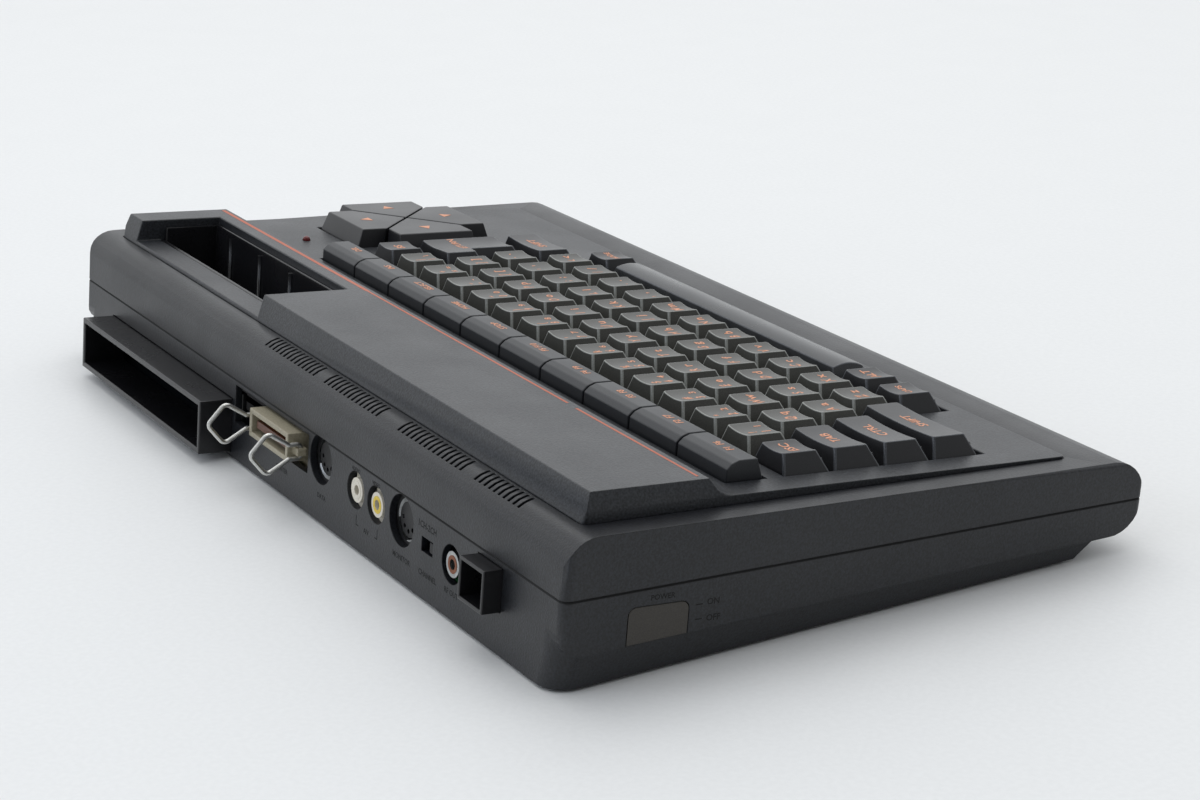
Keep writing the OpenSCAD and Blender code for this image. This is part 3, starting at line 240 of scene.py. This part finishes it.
# Ranges of x with narrow ribs: both ends of the cursor keys' opening, and the inner side of the button
narrow = {"keyboard_bezel": [(114, 117), (176, 178.5)], "power_button": [(-189, -170)]}
hardEdge = {"angle": 26, "shortest": 0.9}  # degrees, millimetres


def softened(node, width):
    # Edges at a narrow rib or at a very short edge stay sharp, because a rounding there would cross itself
    bm = copyOf(node)
    hard = [e for e in bm.edges if e.is_manifold and e.calc_face_angle() > math.radians(hardEdge["angle"])]
    tight = {v for e in bm.edges if e.calc_length() < hardEdge["shortest"] for v in e.verts}
    for low, high in narrow.get(node, []):
        tight.update(v for v in bm.verts if low < v.co.x < high)
    hard = [e for e in hard if not tight.intersection(e.verts)]
    if width:
        roundEdges(bm, hard, width, clamp=False)
    return bm


def grooved(node, side):
    # A shell with its half of the groove along the parting line, whose faces are painted near black as shade;
    # side is 1 for the upper shell
    bm = copyOf(node)
    normal = Vector((0, -case["slope"], 1)).normalized()
    slack = 0.02

    def rise(v):
        return (v.co - Vector((0, 0, case["parting"]))).dot(normal)

    bmesh.ops.bisect_plane(
        bm, geom=bm.verts[:] + bm.edges[:] + bm.faces[:], dist=1e-4,
        plane_co=Vector((0, 0, case["parting"])) + normal * case["groove"] * side, plane_no=normal,
    )
    bm.normal_update()
    moved = {}
    for f in bm.faces:
        away = f.calc_center_median() - Vector((0, case["middleY"], 0))
        flat = Vector((f.normal.x, f.normal.y, 0))
        inBand = all(abs(rise(v)) < case["groove"] + slack for v in f.verts)
        if abs(f.normal.z) > 0.5 or flat.dot(away) < 0 or not inBand:
            continue
        # The groove's faces take the second material: painted near-black shade
        f.material_index = 1
        for v in f.verts:
            if abs(rise(v)) < slack:
                moved.setdefault(v, []).append(flat)
    for v, normals in moved.items():
        v.co -= sum(normals, Vector()).normalized() * case["groove"]
    return bm


lettersMade = {}
# Half the thickness of the letters, and how much they are thickened for each millimetre of their height
lettering = {"half": 0.06, "bold": 0.018, "join": 0.0002}
# How far bars reach in and out of the back, and of the side, where they stay within the case's own size
marks = {"back": 0.03, "sideIn": 0.04, "sideOut": 0.02}


def onTop(x, y, height):
    # Carries flat letters to a place on a surface whose height is a function of x and y
    return lambda co: (x + co.x, y + co.y, co.z + height(x + co.x, y + co.y))


def onBack(x, z):
    # Carries them to the back face, read from behind
    return lambda co: (x - co.x, case["back"] + co.z / 2, z + co.y)


def onSide(y, z):
    # And to the left side, read from the left
    middle = case["side"] + (marks["sideIn"] - marks["sideOut"]) / 2
    return lambda co: (middle - co.z / 2, y - co.x, z + co.y)


def addLetters(bm, text, size, put):
    # Plain letters as thin relief, printed where put() carries them
    if (text, size) not in lettersMade:
        curve = bpy.data.curves.new("letters", "FONT")
        curve.body, curve.size, curve.extrude, curve.resolution_u = text, size, lettering["half"], 2
        curve.align_x, curve.align_y, curve.offset = "CENTER", "CENTER", lettering["bold"] * size
        word = bpy.data.objects.new("letters", curve)
        bpy.context.collection.objects.link(word)
        made = bpy.data.meshes.new_from_object(word.evaluated_get(bpy.context.evaluated_depsgraph_get()))
        bpy.data.objects.remove(word)
        bpy.data.curves.remove(curve)
        lettersMade[text, size] = made
    letters = bmesh.new()
    letters.from_mesh(lettersMade[text, size])
    bmesh.ops.remove_doubles(letters, verts=letters.verts, dist=lettering["join"])
    for v in letters.verts:
        v.co = put(v.co)
    for f in letters.faces:
        f.material_index = 1
    pour(bm, letters)


def addBar(bm, low, high):
    bar = bmesh.new()
    boxBetween(bar, low, high)
    for f in bar.faces:
        f.material_index = 1
    pour(bm, bar)


keys = {
    "pitch": 19.05, "left": -170.75, "back": 0.7, "gap": 0.4, "top": 6.0, "skirt": -2.0,
    "sideLean": 3.15, "frontLean": 4.7, "backLean": 1.1, "dish": 0.7, "corner": 0.75, "rim": 0.3,
    "cuts": 8, "wall": 1.3, "hollow": 5.2, "draw": 1.4, "stem": 5.0, "stemEnd": -8.3, "stemBack": 9.4,
    "stemTop": 4.5, "topFrom": 3.9,
}


def cellX(units):
    return keys["left"] + keys["pitch"] * units


def rowBack(row):
    return keys["back"] - keys["pitch"] * (row - 1)


def addStem(bm, x, y, top=keys["stemTop"]):
    half = keys["stem"] / 2
    boxBetween(bm, (x - half, y - half, keys["stemEnd"]), (x + half, y + half, top))


def hollowOut(bm, depth):
    # Done while the underside is still one plain face
    bm.normal_update()
    under = [f for f in bm.faces if f.normal.z < -0.9]
    bmesh.ops.inset_region(bm, faces=under, thickness=keys["wall"], use_even_offset=True)
    lifted = bmesh.ops.extrude_face_region(bm, geom=under)["geom"]
    bmesh.ops.delete(bm, geom=under, context="FACES_ONLY")
    roof = [v for v in lifted if isinstance(v, bmesh.types.BMVert)]
    middle = sum((v.co for v in roof), Vector()) / len(roof)
    for v in roof:
        v.co.z += depth
        v.co.x += math.copysign(keys["draw"], middle.x - v.co.x)
        v.co.y += math.copysign(keys["draw"], middle.y - v.co.y)


def cutTop(bm, count, low, high, axis):
    # Cuts across the top face alone, so that it can be bent
    for i in range(1, count):
        place, normal = [0, 0, 0], [0, 0, 0]
        place[axis], normal[axis] = low + (high - low) * i / count, 1
        bm.normal_update()
        top = [f for f in bm.faces if f.normal.z > 0.9 and f.calc_center_median().z > keys["topFrom"]]
        around = {v for f in top for v in f.verts} | {e for f in top for e in f.edges}
        bmesh.ops.bisect_plane(bm, geom=top + list(around), dist=1e-4, plane_co=place, plane_no=normal)


def roundRim(bm, width):
    bm.normal_update()
    rim = [
        e for e in bm.edges
        if min(v.co.z for v in e.verts) > keys["topFrom"] and e.is_manifold and e.calc_face_angle() > 0.6
    ]
    # The rounded rim takes the third material, a painted edge highlight
    roundEdges(bm, rim, width, 2, 2)


def topHeight(x0, x1):
    half = (x1 - x0) / 2 - keys["gap"] - keys["sideLean"]
    middle = (x0 + x1) / 2
    return lambda x, y: keys["top"] - keys["dish"] * max(0, 1 - ((x - middle) / half) ** 2)


def keyCap(x0, x1, y0, y1):
    # Cap with leaning sides, a trough across its top, a hollow underside and a stem
    bm = bmesh.new()
    g, middleX, middleY = keys["gap"], (x0 + x1) / 2, (y0 + y1) / 2
    boxBetween(bm, (x0 + g, y0 + g, keys["skirt"]), (x1 - g, y1 - g, keys["top"]))
    for v in bm.verts:
        if v.co.z > 0:
            v.co.x += keys["sideLean"] if v.co.x < middleX else -keys["sideLean"]
            v.co.y += keys["frontLean"] if v.co.y < middleY else -keys["backLean"]
    upright = [e for e in bm.edges if abs(e.verts[0].co.z - e.verts[1].co.z) > 1]
    hollowOut(bm, keys["hollow"])
    # The rounded upright corners take the third material, a painted edge highlight
    roundEdges(bm, upright, keys["corner"], 2, 2)
    cutTop(bm, keys["cuts"], x0 + g + keys["sideLean"], x1 - g - keys["sideLean"], 0)
    height = topHeight(x0, x1)
    for v in bm.verts:
        if v.co.z > keys["top"] - 0.01:
            v.co.z = height(v.co.x, v.co.y)
    roundRim(bm, keys["rim"])
    addStem(bm, middleX, y1 - keys["stemBack"])
    return bm


greyRows = [  # node, row, first cell, main letters, second marks
    ("number_row_keys", 1, 1.0, "1234567890-=\\", "!\"#$%&'()~_+|"),
    ("upper_row_keys", 2, 1.5, "QWERTYUIOP[]", ""),
    ("home_row_keys", 3, 1.75, "ASDFGHJKL;'`", ""),
    ("lower_row_keys", 4, 2.25, "ZXCVBNM,./<", ""),
]
darkKeys = [  # node, row, first and last cell, legend
    ("escape_key", 1, 0, 1, "ESC"), ("backspace_key", 1, 14, 15, "BS"), ("tab_key", 2, 0, 1.5, "TAB"),
    ("control_key", 3, 0, 1.75, "CTRL"), ("left_shift_key", 4, 0, 2.25, "SHIFT"),
    ("right_shift_key", 4, 13.25, 15, "SHIFT"), ("caps_key", 5, 2.25, 3.25, "CAPS"),
    ("graph_key", 5, 3.25, 4.25, "ALT"), ("code_key", 5, 12.25, 13.25, "MODE"),
]

# Size and place of the marks on a grey cap, from its middle and its front: in the number row, the
# character, the shifted one behind it and a small one beside; elsewhere, the capital and the small letter
numberMarks = {"main": (4.8, -2.4, 8.3), "shifted": (4.6, -2.4, 13.4), "beside": (3.6, 2.8, 8.3)}
letterMarks = {"capital": (5.4, -2.6, 11.5), "small": (5.0, 2.6, 11.0)}

for node, row, first, mains, seconds in greyRows:
    allCaps = bmesh.new()
    y0, y1 = rowBack(row + 1), rowBack(row)
    for i, letter in enumerate(mains):
        x0, x1 = cellX(first + i), cellX(first + i + 1)
        pour(allCaps, keyCap(x0, x1, y0, y1))
        height = topHeight(x0, x1)
        middle = (x0 + x1) / 2
        if seconds:
            marked = zip((letter, seconds[i], letter), numberMarks.values())
        else:
            marked = zip((letter, letter.lower()), letterMarks.values())
        for text, (size, besideMiddle, fromFront) in marked:
            addLetters(allCaps, text, size, onTop(middle + besideMiddle, y0 + fromFront, height))
    name = node.replace("_keys", "_caps")
    addPiece(allCaps, name, [greyKeyAbs, peachInk, greyKeyHighlight], node, [node])

darkMarks = {"long": 4.7, "small": 3.4, "behindMiddle": 1.8}

for node, row, first, last, legend in darkKeys:
    x0, x1, y0, y1 = cellX(first), cellX(last), rowBack(row + 1), rowBack(row)
    cap = keyCap(x0, x1, y0, y1)
    size = darkMarks["small" if len(legend) > 3 and last - first == 1 else "long"]
    place = (x0 + x1) / 2, (y0 + y1) / 2 + darkMarks["behindMiddle"]
    addLetters(cap, legend, size, onTop(*place, topHeight(x0, x1)))
    name = node.replace("_key", "_cap")
    addPiece(cap, name, [darkKeyAbs, peachInk, darkKeyHighlight], node, [node])
print("letter keys made")

spaceBar = {
    "cells": (4.25, 12.25), "stems": (-50, 0, 50), "stemTop": 4.0,
    "crown": 1.3, "cuts": 10, "hollow": 4.5, "rim": 0.5,
}


def makeSpaceBar():
    # Long bar, crowned from front to back, as the real one is
    x0, x1 = cellX(spaceBar["cells"][0]) + keys["gap"], cellX(spaceBar["cells"][1]) - keys["gap"]
    y0, y1 = rowBack(6) + keys["gap"], rowBack(5) - keys["gap"]
    bm = bmesh.new()
    boxBetween(bm, (x0, y0, keys["skirt"]), (x1, y1, keys["top"]))
    for v in bm.verts:
        if v.co.z > 0:
            v.co.x += keys["sideLean"] if v.co.x < (x0 + x1) / 2 else -keys["sideLean"]
            v.co.y += keys["frontLean"] if v.co.y < (y0 + y1) / 2 else -keys["backLean"]
    front, back = y0 + keys["frontLean"], y1 - keys["backLean"]
    upright = [e for e in bm.edges if abs(e.verts[0].co.z - e.verts[1].co.z) > 1]
    hollowOut(bm, spaceBar["hollow"])
    roundEdges(bm, upright, keys["corner"], 2)
    cutTop(bm, spaceBar["cuts"], front, back, 1)
    middle, half = (front + back) / 2, (back - front) / 2
    for v in bm.verts:
        if v.co.z > keys["top"] - 0.01:
            v.co.z -= spaceBar["crown"] * ((v.co.y - middle) / half) ** 2
    roundRim(bm, spaceBar["rim"])
    for x in spaceBar["stems"]:
        addStem(bm, (x0 + x1) / 2 + x, rowBack(5) - keys["stemBack"], spaceBar["stemTop"])
    addPiece(bm, "space_cap", [spaceAbs, peachInk, darkKeyHighlight], "space_bar", ["space_bar"])


makeSpaceBar()

returnKey = {"upper": 13.5, "lower": 13.75, "end": 15, "stem": (14.375, 2), "legend": (4.0, 6)}


def makeReturnKey():
    # An upright L: the wide half in the upper row, the narrow one in the home row
    k, g = keys, keys["gap"]
    xu, xl, x1 = cellX(returnKey["upper"]) + g, cellX(returnKey["lower"]) + g, cellX(returnKey["end"]) - g
    y0, ym, y1 = rowBack(4) + g, rowBack(3) + g, rowBack(2) - g
    bm = bmesh.new()
    outline = [(xl, y0), (x1, y0), (x1, y1), (xu, y1), (xu, ym), (xl, ym)]
    base = bm.faces.new([bm.verts.new((x, y, k["skirt"])) for x, y in outline])
    lifted = bmesh.ops.extrude_face_region(bm, geom=[base])["geom"]
    step = k["sideLean"]
    for v in [v for v in lifted if isinstance(v, bmesh.types.BMVert)]:
        x, y = v.co.x, v.co.y
        v.co.z = k["top"]
        v.co.x = x - step if x > xl + 1 else x + step
        v.co.y = y + k["frontLean"] if y < ym + 1 else y - k["backLean"]
    bmesh.ops.recalc_face_normals(bm, faces=bm.faces)
    upright = [e for e in bm.edges if abs(e.verts[0].co.z - e.verts[1].co.z) > 1 and e.calc_length() > 5]
    hollowOut(bm, k["hollow"])
    # The rounded upright corners take the third material, a painted edge highlight
    roundEdges(bm, upright, k["corner"], 2, 2)
    cutTop(bm, k["cuts"], xl + step, x1 - step, 0)
    height = topHeight(cellX(returnKey["lower"]), cellX(returnKey["end"]))
    for v in bm.verts:
        if v.co.z > k["top"] - 0.01:
            v.co.z = height(v.co.x, v.co.y)
    roundRim(bm, k["rim"])
    middle = cellX(returnKey["stem"][0])
    addStem(bm, middle, rowBack(3) + returnKey["stem"][1])
    size, behind = returnKey["legend"]
    addLetters(bm, "RETURN", size, onTop(middle, rowBack(3) + behind, height))
    addPiece(bm, "return_cap", [darkKeyAbs, peachInk, darkKeyHighlight], "return_key", ["return_key"])


makeReturnKey()

functionKeys = {
    "pitch": 1.5, "gap": 0.4, "stemY": 14.8, "stemTop": 5.4, "top": 6.5, "hollow": 5.0, "edge": 0.45,
    "legendSize": 3.6, "legendY": 13.9,
    "profile": [(7.4, -2.0), (10.6, 6.5), (17.2, 6.5), (19.6, 5.6), (21.4, 3.9), (21.4, -2.0)],  # y and z
    "legends": ["F1  F6", "F2  F7", "F3  F8", "F4  F9", "F5 F10", "STOP", "HOME", "SELECT", "INS", "DEL"],
}


def makeFunctionKey(i):
    f = functionKeys
    x0, x1 = cellX(f["pitch"] * i) + f["gap"], cellX(f["pitch"] * (i + 1)) - f["gap"]
    bm = bmesh.new()
    end = bm.faces.new([bm.verts.new((x0, y, z)) for y, z in f["profile"]])
    swept = bmesh.ops.extrude_face_region(bm, geom=[end])["geom"]
    bmesh.ops.translate(bm, verts=[v for v in swept if isinstance(v, bmesh.types.BMVert)], vec=(x1 - x0, 0, 0))
    bmesh.ops.recalc_face_normals(bm, faces=bm.faces)
    hard = [
        e for e in bm.edges
        if e.is_manifold and e.calc_face_angle() > 0.35 and max(v.co.z for v in e.verts) > 0
    ]
    hollowOut(bm, f["hollow"])
    roundEdges(bm, hard, f["edge"], 3)
    middle = (x0 + x1) / 2
    addStem(bm, middle, f["stemY"], f["stemTop"])
    addLetters(bm, f["legends"][i], f["legendSize"], onTop(middle, f["legendY"], lambda x, y: f["top"]))
    node, name = f"function_key_{i + 1}", f"function_cap_{i + 1}"
    addPiece(bm, name, [functionKeyAbs, peachInk, darkKeyHighlight], node, [node])


for i in range(10):
    makeFunctionKey(i)

cursorKeys = {
    "middle": (146.15, -30), "reach": 30, "half": 17.5, "top": 6.8, "gap": 0.6, "lean": 1.5, "endLean": 3,
    "stem": 19, "stemTop": 5.4, "hollow": 5.6, "edge": 0.5, "arrow": [(-2.4, 16), (2.4, 16), (0, 20.4)],
    "arrowSunk": 0.05, "arrowDepth": 0.12,
    "names": ["cursor_up_key", "cursor_left_key", "cursor_down_key", "cursor_right_key"],
}


def makeCursorKey(i):
    # Five-sided cap that points to the middle of the cross
    c = cursorKeys
    h, tip, end = c["half"], c["gap"], c["reach"]
    bm = bmesh.new()
    outline = [(0, tip), (h, h + tip), (h, end), (-h, end), (-h, h + tip)]
    base = bm.faces.new([bm.verts.new((x, y, keys["skirt"])) for x, y in outline])
    lifted = bmesh.ops.extrude_face_region(bm, geom=[base])["geom"]
    for v in [v for v in lifted if isinstance(v, bmesh.types.BMVert)]:
        v.co.z = c["top"]
        if abs(v.co.x) > 1:
            v.co.x -= math.copysign(c["lean"], v.co.x)
        if v.co.y > end - 1:
            v.co.y -= c["endLean"]
        elif abs(v.co.x) > 1:
            v.co.y -= c["lean"]
    bmesh.ops.recalc_face_normals(bm, faces=bm.faces)
    outer = [e for e in bm.edges if max(v.co.z for v in e.verts) > 0]
    hollowOut(bm, c["hollow"])
    roundEdges(bm, outer, c["edge"])
    addStem(bm, 0, c["stem"], c["stemTop"])
    arrow = bm.faces.new([bm.verts.new((x, y, c["top"] - c["arrowSunk"])) for x, y in c["arrow"]])
    made = bmesh.ops.extrude_face_region(bm, geom=[arrow])["geom"]
    raised = [v for v in made if isinstance(v, bmesh.types.BMVert)]
    bmesh.ops.translate(bm, verts=raised, vec=(0, 0, c["arrowDepth"]))
    inked = {arrow, *[f for f in made if isinstance(f, bmesh.types.BMFace)]}
    for f in [f for v in arrow.verts for f in v.link_faces]:
        inked.add(f)
    for f in inked:
        f.material_index = 1
    turn = Matrix.Translation((*c["middle"], 0)) @ Matrix.Rotation(math.radians(90 * i), 4, "Z")
    bmesh.ops.transform(bm, matrix=turn, verts=bm.verts)
    name = c["names"][i]
    addPiece(bm, name.replace("_key", "_cap"), [darkKeyAbs, peachInk, darkKeyHighlight], name, [name])


for i in range(4):
    makeCursorKey(i)
print("keys made")


# Upper shell, with painted shade in its half of the parting groove
addPiece(grooved("top_case", 1), "top_shell", [caseAbs, blackMarksAndGrooveShade], "case", ["top_case"])

backWords = [  # generic words moulded into the back: text, size, x, z
    ("PRINTER", 2.4, 0.0, -42.9), ("DATA", 2.4, -32.0, -42.6), ("AUDIO", 1.9, -56.9, -25.2),
    ("VIDEO", 1.9, -71.7, -25.6), ("A/V", 2.4, -66.2, -43.4), ("1CH-2CH", 3.0, -107.8, -28.0),
    ("MONITOR", 2.6, -91.5, -43.6), ("CHANNEL", 2.6, -109.5, -43.4), ("RF OUT", 2.6, -125.4, -43.2),
]
backBars = [  # x and z of the bracket under the two round jacks
    ((-58.9, -43.4), (-58.5, -39.9)), ((-60.5, -43.4), (-58.5, -43.0)),
    ((-74.3, -43.4), (-73.9, -39.9)), ((-74.3, -43.4), (-72.3, -43.0)),
]
sideWords = [("POWER", 2.4, 54.3, -24.6), ("ON", 2.8, 36.6, -28.2), ("OFF", 2.8, 36.2, -33.3)]
sideBars = [((40.2, -28.8), (42.6, -28.4)), ((40.2, -33.4), (42.6, -33.0))]
lower = grooved("bottom_case", -1)
for text, size, x, z in backWords:
    addLetters(lower, text, size, onBack(x, z))
for (x0, z0), (x1, z1) in backBars:
    addBar(lower, (x0, case["back"] - marks["back"], z0), (x1, case["back"] + marks["back"], z1))
for text, size, y, z in sideWords:
    addLetters(lower, text, size, onSide(y, z))
for (y0, z0), (y1, z1) in sideBars:
    addBar(lower, (case["side"] - marks["sideOut"], y0, z0), (case["side"] + marks["sideIn"], y1, z1))
addPiece(lower, "bottom_shell", [caseAbs, blackMarksAndGrooveShade], "case", ["bottom_case"])

hood = softened("keyboard_bezel", 0.45)
stripes = {
    "z": (5.3, 5.53),
    "parts": [(-177, -106, 35.85, 36.75), (-100, 45, 35.5, 36.4), (45, 178, 35.2, 36.7)],
}
for x0, x1, y0, y1 in stripes["parts"]:
    addBar(hood, (x0, y0, stripes["z"][0]), (x1, y1, stripes["z"][1]))
addPiece(hood, "hood_and_bezel", [hoodAbs, orangeInk], "case", ["keyboard_bezel"])

casePieces = [  # node, new name, material, slot, width of the rounding
    ("cartridge_well", "slot_well", glossAbs, "black_plastic", 0),
    ("rear_slot_sleeve", "rear_sleeve", glossAbs, "case_plastic", 0.45),
    ("power_inlet", "inlet_shroud", glossAbs, "black_plastic", 0.35),
    ("power_button", "side_button", buttonAbs, "button_plastic", 0.4),
    ("printer_connector", "printer_body", creamNylon, "cream_plastic", 0.35),
    ("controller_ports", "port_bodies", blackAbs, "black_plastic", 0.3),
    ("channel_slider", "slider_knob", blackAbs, "black_plastic", 0.25),
    ("rubber_feet", "feet", footRubber, "rubber", 0.25),
]
for node, name, material, slot, width in casePieces:
    body = {"power_button": "power_button", "channel_slider": "channel_slider"}.get(node, "case")
    addPiece(softened(node, width), name, [material], body, [node])

rings = {"face": 87.2, "sides": 32, "rise": 0.12, "sunk": 0.02, "inner": 1.66, "outer": 2.9}


def addRing(bm, x, z):
    # A thin flat ring lying on a jack's face
    ring = bmesh.new()
    bmesh.ops.create_circle(ring, segments=rings["sides"], radius=rings["outer"])
    grown = bmesh.ops.extrude_edge_only(ring, edges=ring.edges[:])["geom"]
    for v in grown:
        if isinstance(v, bmesh.types.BMVert):
            v.co *= rings["inner"] / rings["outer"]
    raised = bmesh.ops.extrude_face_region(ring, geom=ring.faces[:], use_keep_orig=True)["geom"]
    for v in raised:
        if isinstance(v, bmesh.types.BMVert):
            v.co.z = rings["rise"]
    for v in ring.verts:
        v.co = (x - v.co.x, rings["face"] - rings["sunk"] + v.co.z, z + v.co.y)
    for f in ring.faces:
        f.material_index = 1
    bmesh.ops.recalc_face_normals(ring, faces=ring.faces)
    pour(bm, ring)


jacks = [  # node, new name, x and z of the middle, rim, core, slot
    ("audio_jack", "audio_socket", (-57.35, -32.0), whiteNylon, whiteNylon, "white_socket"),
    ("video_jack", "video_socket", (-72.35, -32.2), whiteNylon, yellowNylon, "yellow_socket"),
    ("rf_jack", "aerial_socket", (-124.65, -34.2), tinPlate, copperPin, "plated_socket"),
]
for node, name, (x, z), rim, core, slot in jacks:
    socket = copyOf(node)
    addRing(socket, x, z)
    addPiece(socket, name, [rim, core], "case", [node])

# The round sockets' grooves hold a tinned ring, between these two radii
dinRing = {"middles": [(-30.35, -30.0), (-90.35, -31.5)], "inner": 5.5, "outer": 7.3}
dins = copyOf("din_sockets")
for f in dins.faces:
    middle = f.calc_center_median()
    away = min(math.hypot(middle.x - x, middle.z - z) for x, z in dinRing["middles"])
    if dinRing["inner"] < away < dinRing["outer"] and abs(f.normal.y) < 0.5:
        f.material_index = 1
addPiece(dins, "round_sockets", [blackAbs, tinPlate], "case", ["din_sockets"])

carried = {  # CAD nodes whose shape is right as it is
    "cartridge_connectors": blackAbs, "main_board": greenLaminate, "board_parts": epoxy,
    "heat_sink": finAluminium, "rf_modulator": tinPlate, "channel_switch": blackAbs,
    "power_switch": blackAbs, "power_light": redLens, "key_frame": blackAbs, "contact_sheet": silicone,
    "keyboard_board": brownLaminate, "keyboard_ribbon": ribbonVinyl, "screws": screwZinc,
    "printer_insert": amberPhenolic,
    "bail_left": bailSteel, "bail_right": bailSteel,
}
for node, material in carried.items():
    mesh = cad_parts[node].data
    mesh.materials.clear()
    mesh.materials.append(material)
print("case pieces made")


# The camera stands behind the machine's left end, as the photograph's did.
view = {
    "lens": 79.78, "sensor": 36, "nearest": 0.05, "place": (-0.79115, 0.43387, 0.3289),
    "right": (-0.5071, -0.8618, -0.0108), "up": (0.2772, -0.1750, 0.9447), "back": (-0.8161, 0.4761, 0.3276),
}
camera = bpy.data.objects.new("camera", bpy.data.cameras.new("camera"))
bpy.context.collection.objects.link(camera)
camera.data.lens = view["lens"]
camera.data.sensor_width = view["sensor"]
camera.data.clip_start = view["nearest"]
turned = Matrix([view["right"], view["up"], view["back"]]).transposed().to_4x4()
camera.matrix_world = Matrix.Translation(view["place"]) @ turned
bpy.context.scene.camera = camera

floorMesh = bmesh.new()
bmesh.ops.create_grid(floorMesh, x_segments=1, y_segments=1, size=6)
data = bpy.data.meshes.new("floor")
floorMesh.to_mesh(data)
floorMesh.free()
floor = bpy.data.objects.new("floor", data)
bpy.context.collection.objects.link(floor)
data.materials.append(moulded("whiteTable", "#dfe0e0", "#e2e3e3", roughness=0.5, grain=2, bump=0.02))
floor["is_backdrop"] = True


def addSoftLight(name, place, target, size, power, color):
    light = bpy.data.lights.new(name, "AREA")
    light.shape, light.size, light.size_y = "RECTANGLE", size[0], size[1]
    light.energy, light.color = power, hexColor(color)[:3]
    lamp = bpy.data.objects.new(name, light)
    lamp.location = place
    lamp.rotation_euler = (Vector(target) - Vector(place)).to_track_quat("-Z", "Y").to_euler()
    bpy.context.collection.objects.link(lamp)


addSoftLight("window", (0.2, 1.9, 0.9), (0, 0, 0), (1.6, 1.0), 8, "#e4eeff")
addSoftLight("ceiling", (0.6, -0.4, 2.0), (0, 0, 0), (1.8, 1.8), 15, "#ffffff")

# The room is bright behind the machine, as seen from the camera, and dim on the camera's side
room = {"toward": (0.8, -0.3, 0.5), "dim": 0.2, "bright": 1.3, "color": "#eef0f2", "facing": (-0.7, 0.9)}
world = bpy.data.worlds.new("room")
world.use_nodes = True
bpy.context.scene.world = world
tree = world.node_tree
tree.nodes.clear()
ray = addNode(tree, "ShaderNodeTexCoord").outputs["Generated"]
facing = addNode(tree, "ShaderNodeVectorMath", {0: ray, 1: room["toward"]}, operation="DOT_PRODUCT")
strength = addNode(
    tree, "ShaderNodeMapRange",
    {"Value": facing.outputs["Value"], "From Min": room["facing"][0], "From Max": room["facing"][1],
     "To Min": room["dim"], "To Max": room["bright"]},
)
light = addNode(
    tree, "ShaderNodeBackground", {"Color": hexColor(room["color"]), "Strength": strength.outputs["Result"]}
)
seen = addNode(tree, "ShaderNodeBackground", {"Color": hexColor(room["color"]), "Strength": 1.0})
path = addNode(tree, "ShaderNodeLightPath")
mixed = addNode(
    tree, "ShaderNodeMixShader", {0: path.outputs["Is Camera Ray"], 1: light.outputs[0], 2: seen.outputs[0]}
)
addNode(tree, "ShaderNodeOutputWorld", {"Surface": mixed.outputs[0]})
bpy.context.scene.view_settings.view_transform = "Standard"
print("camera and light set")

size = {"cad": [list(v) for v in cadBounds], "visual": [list(v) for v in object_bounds()]}
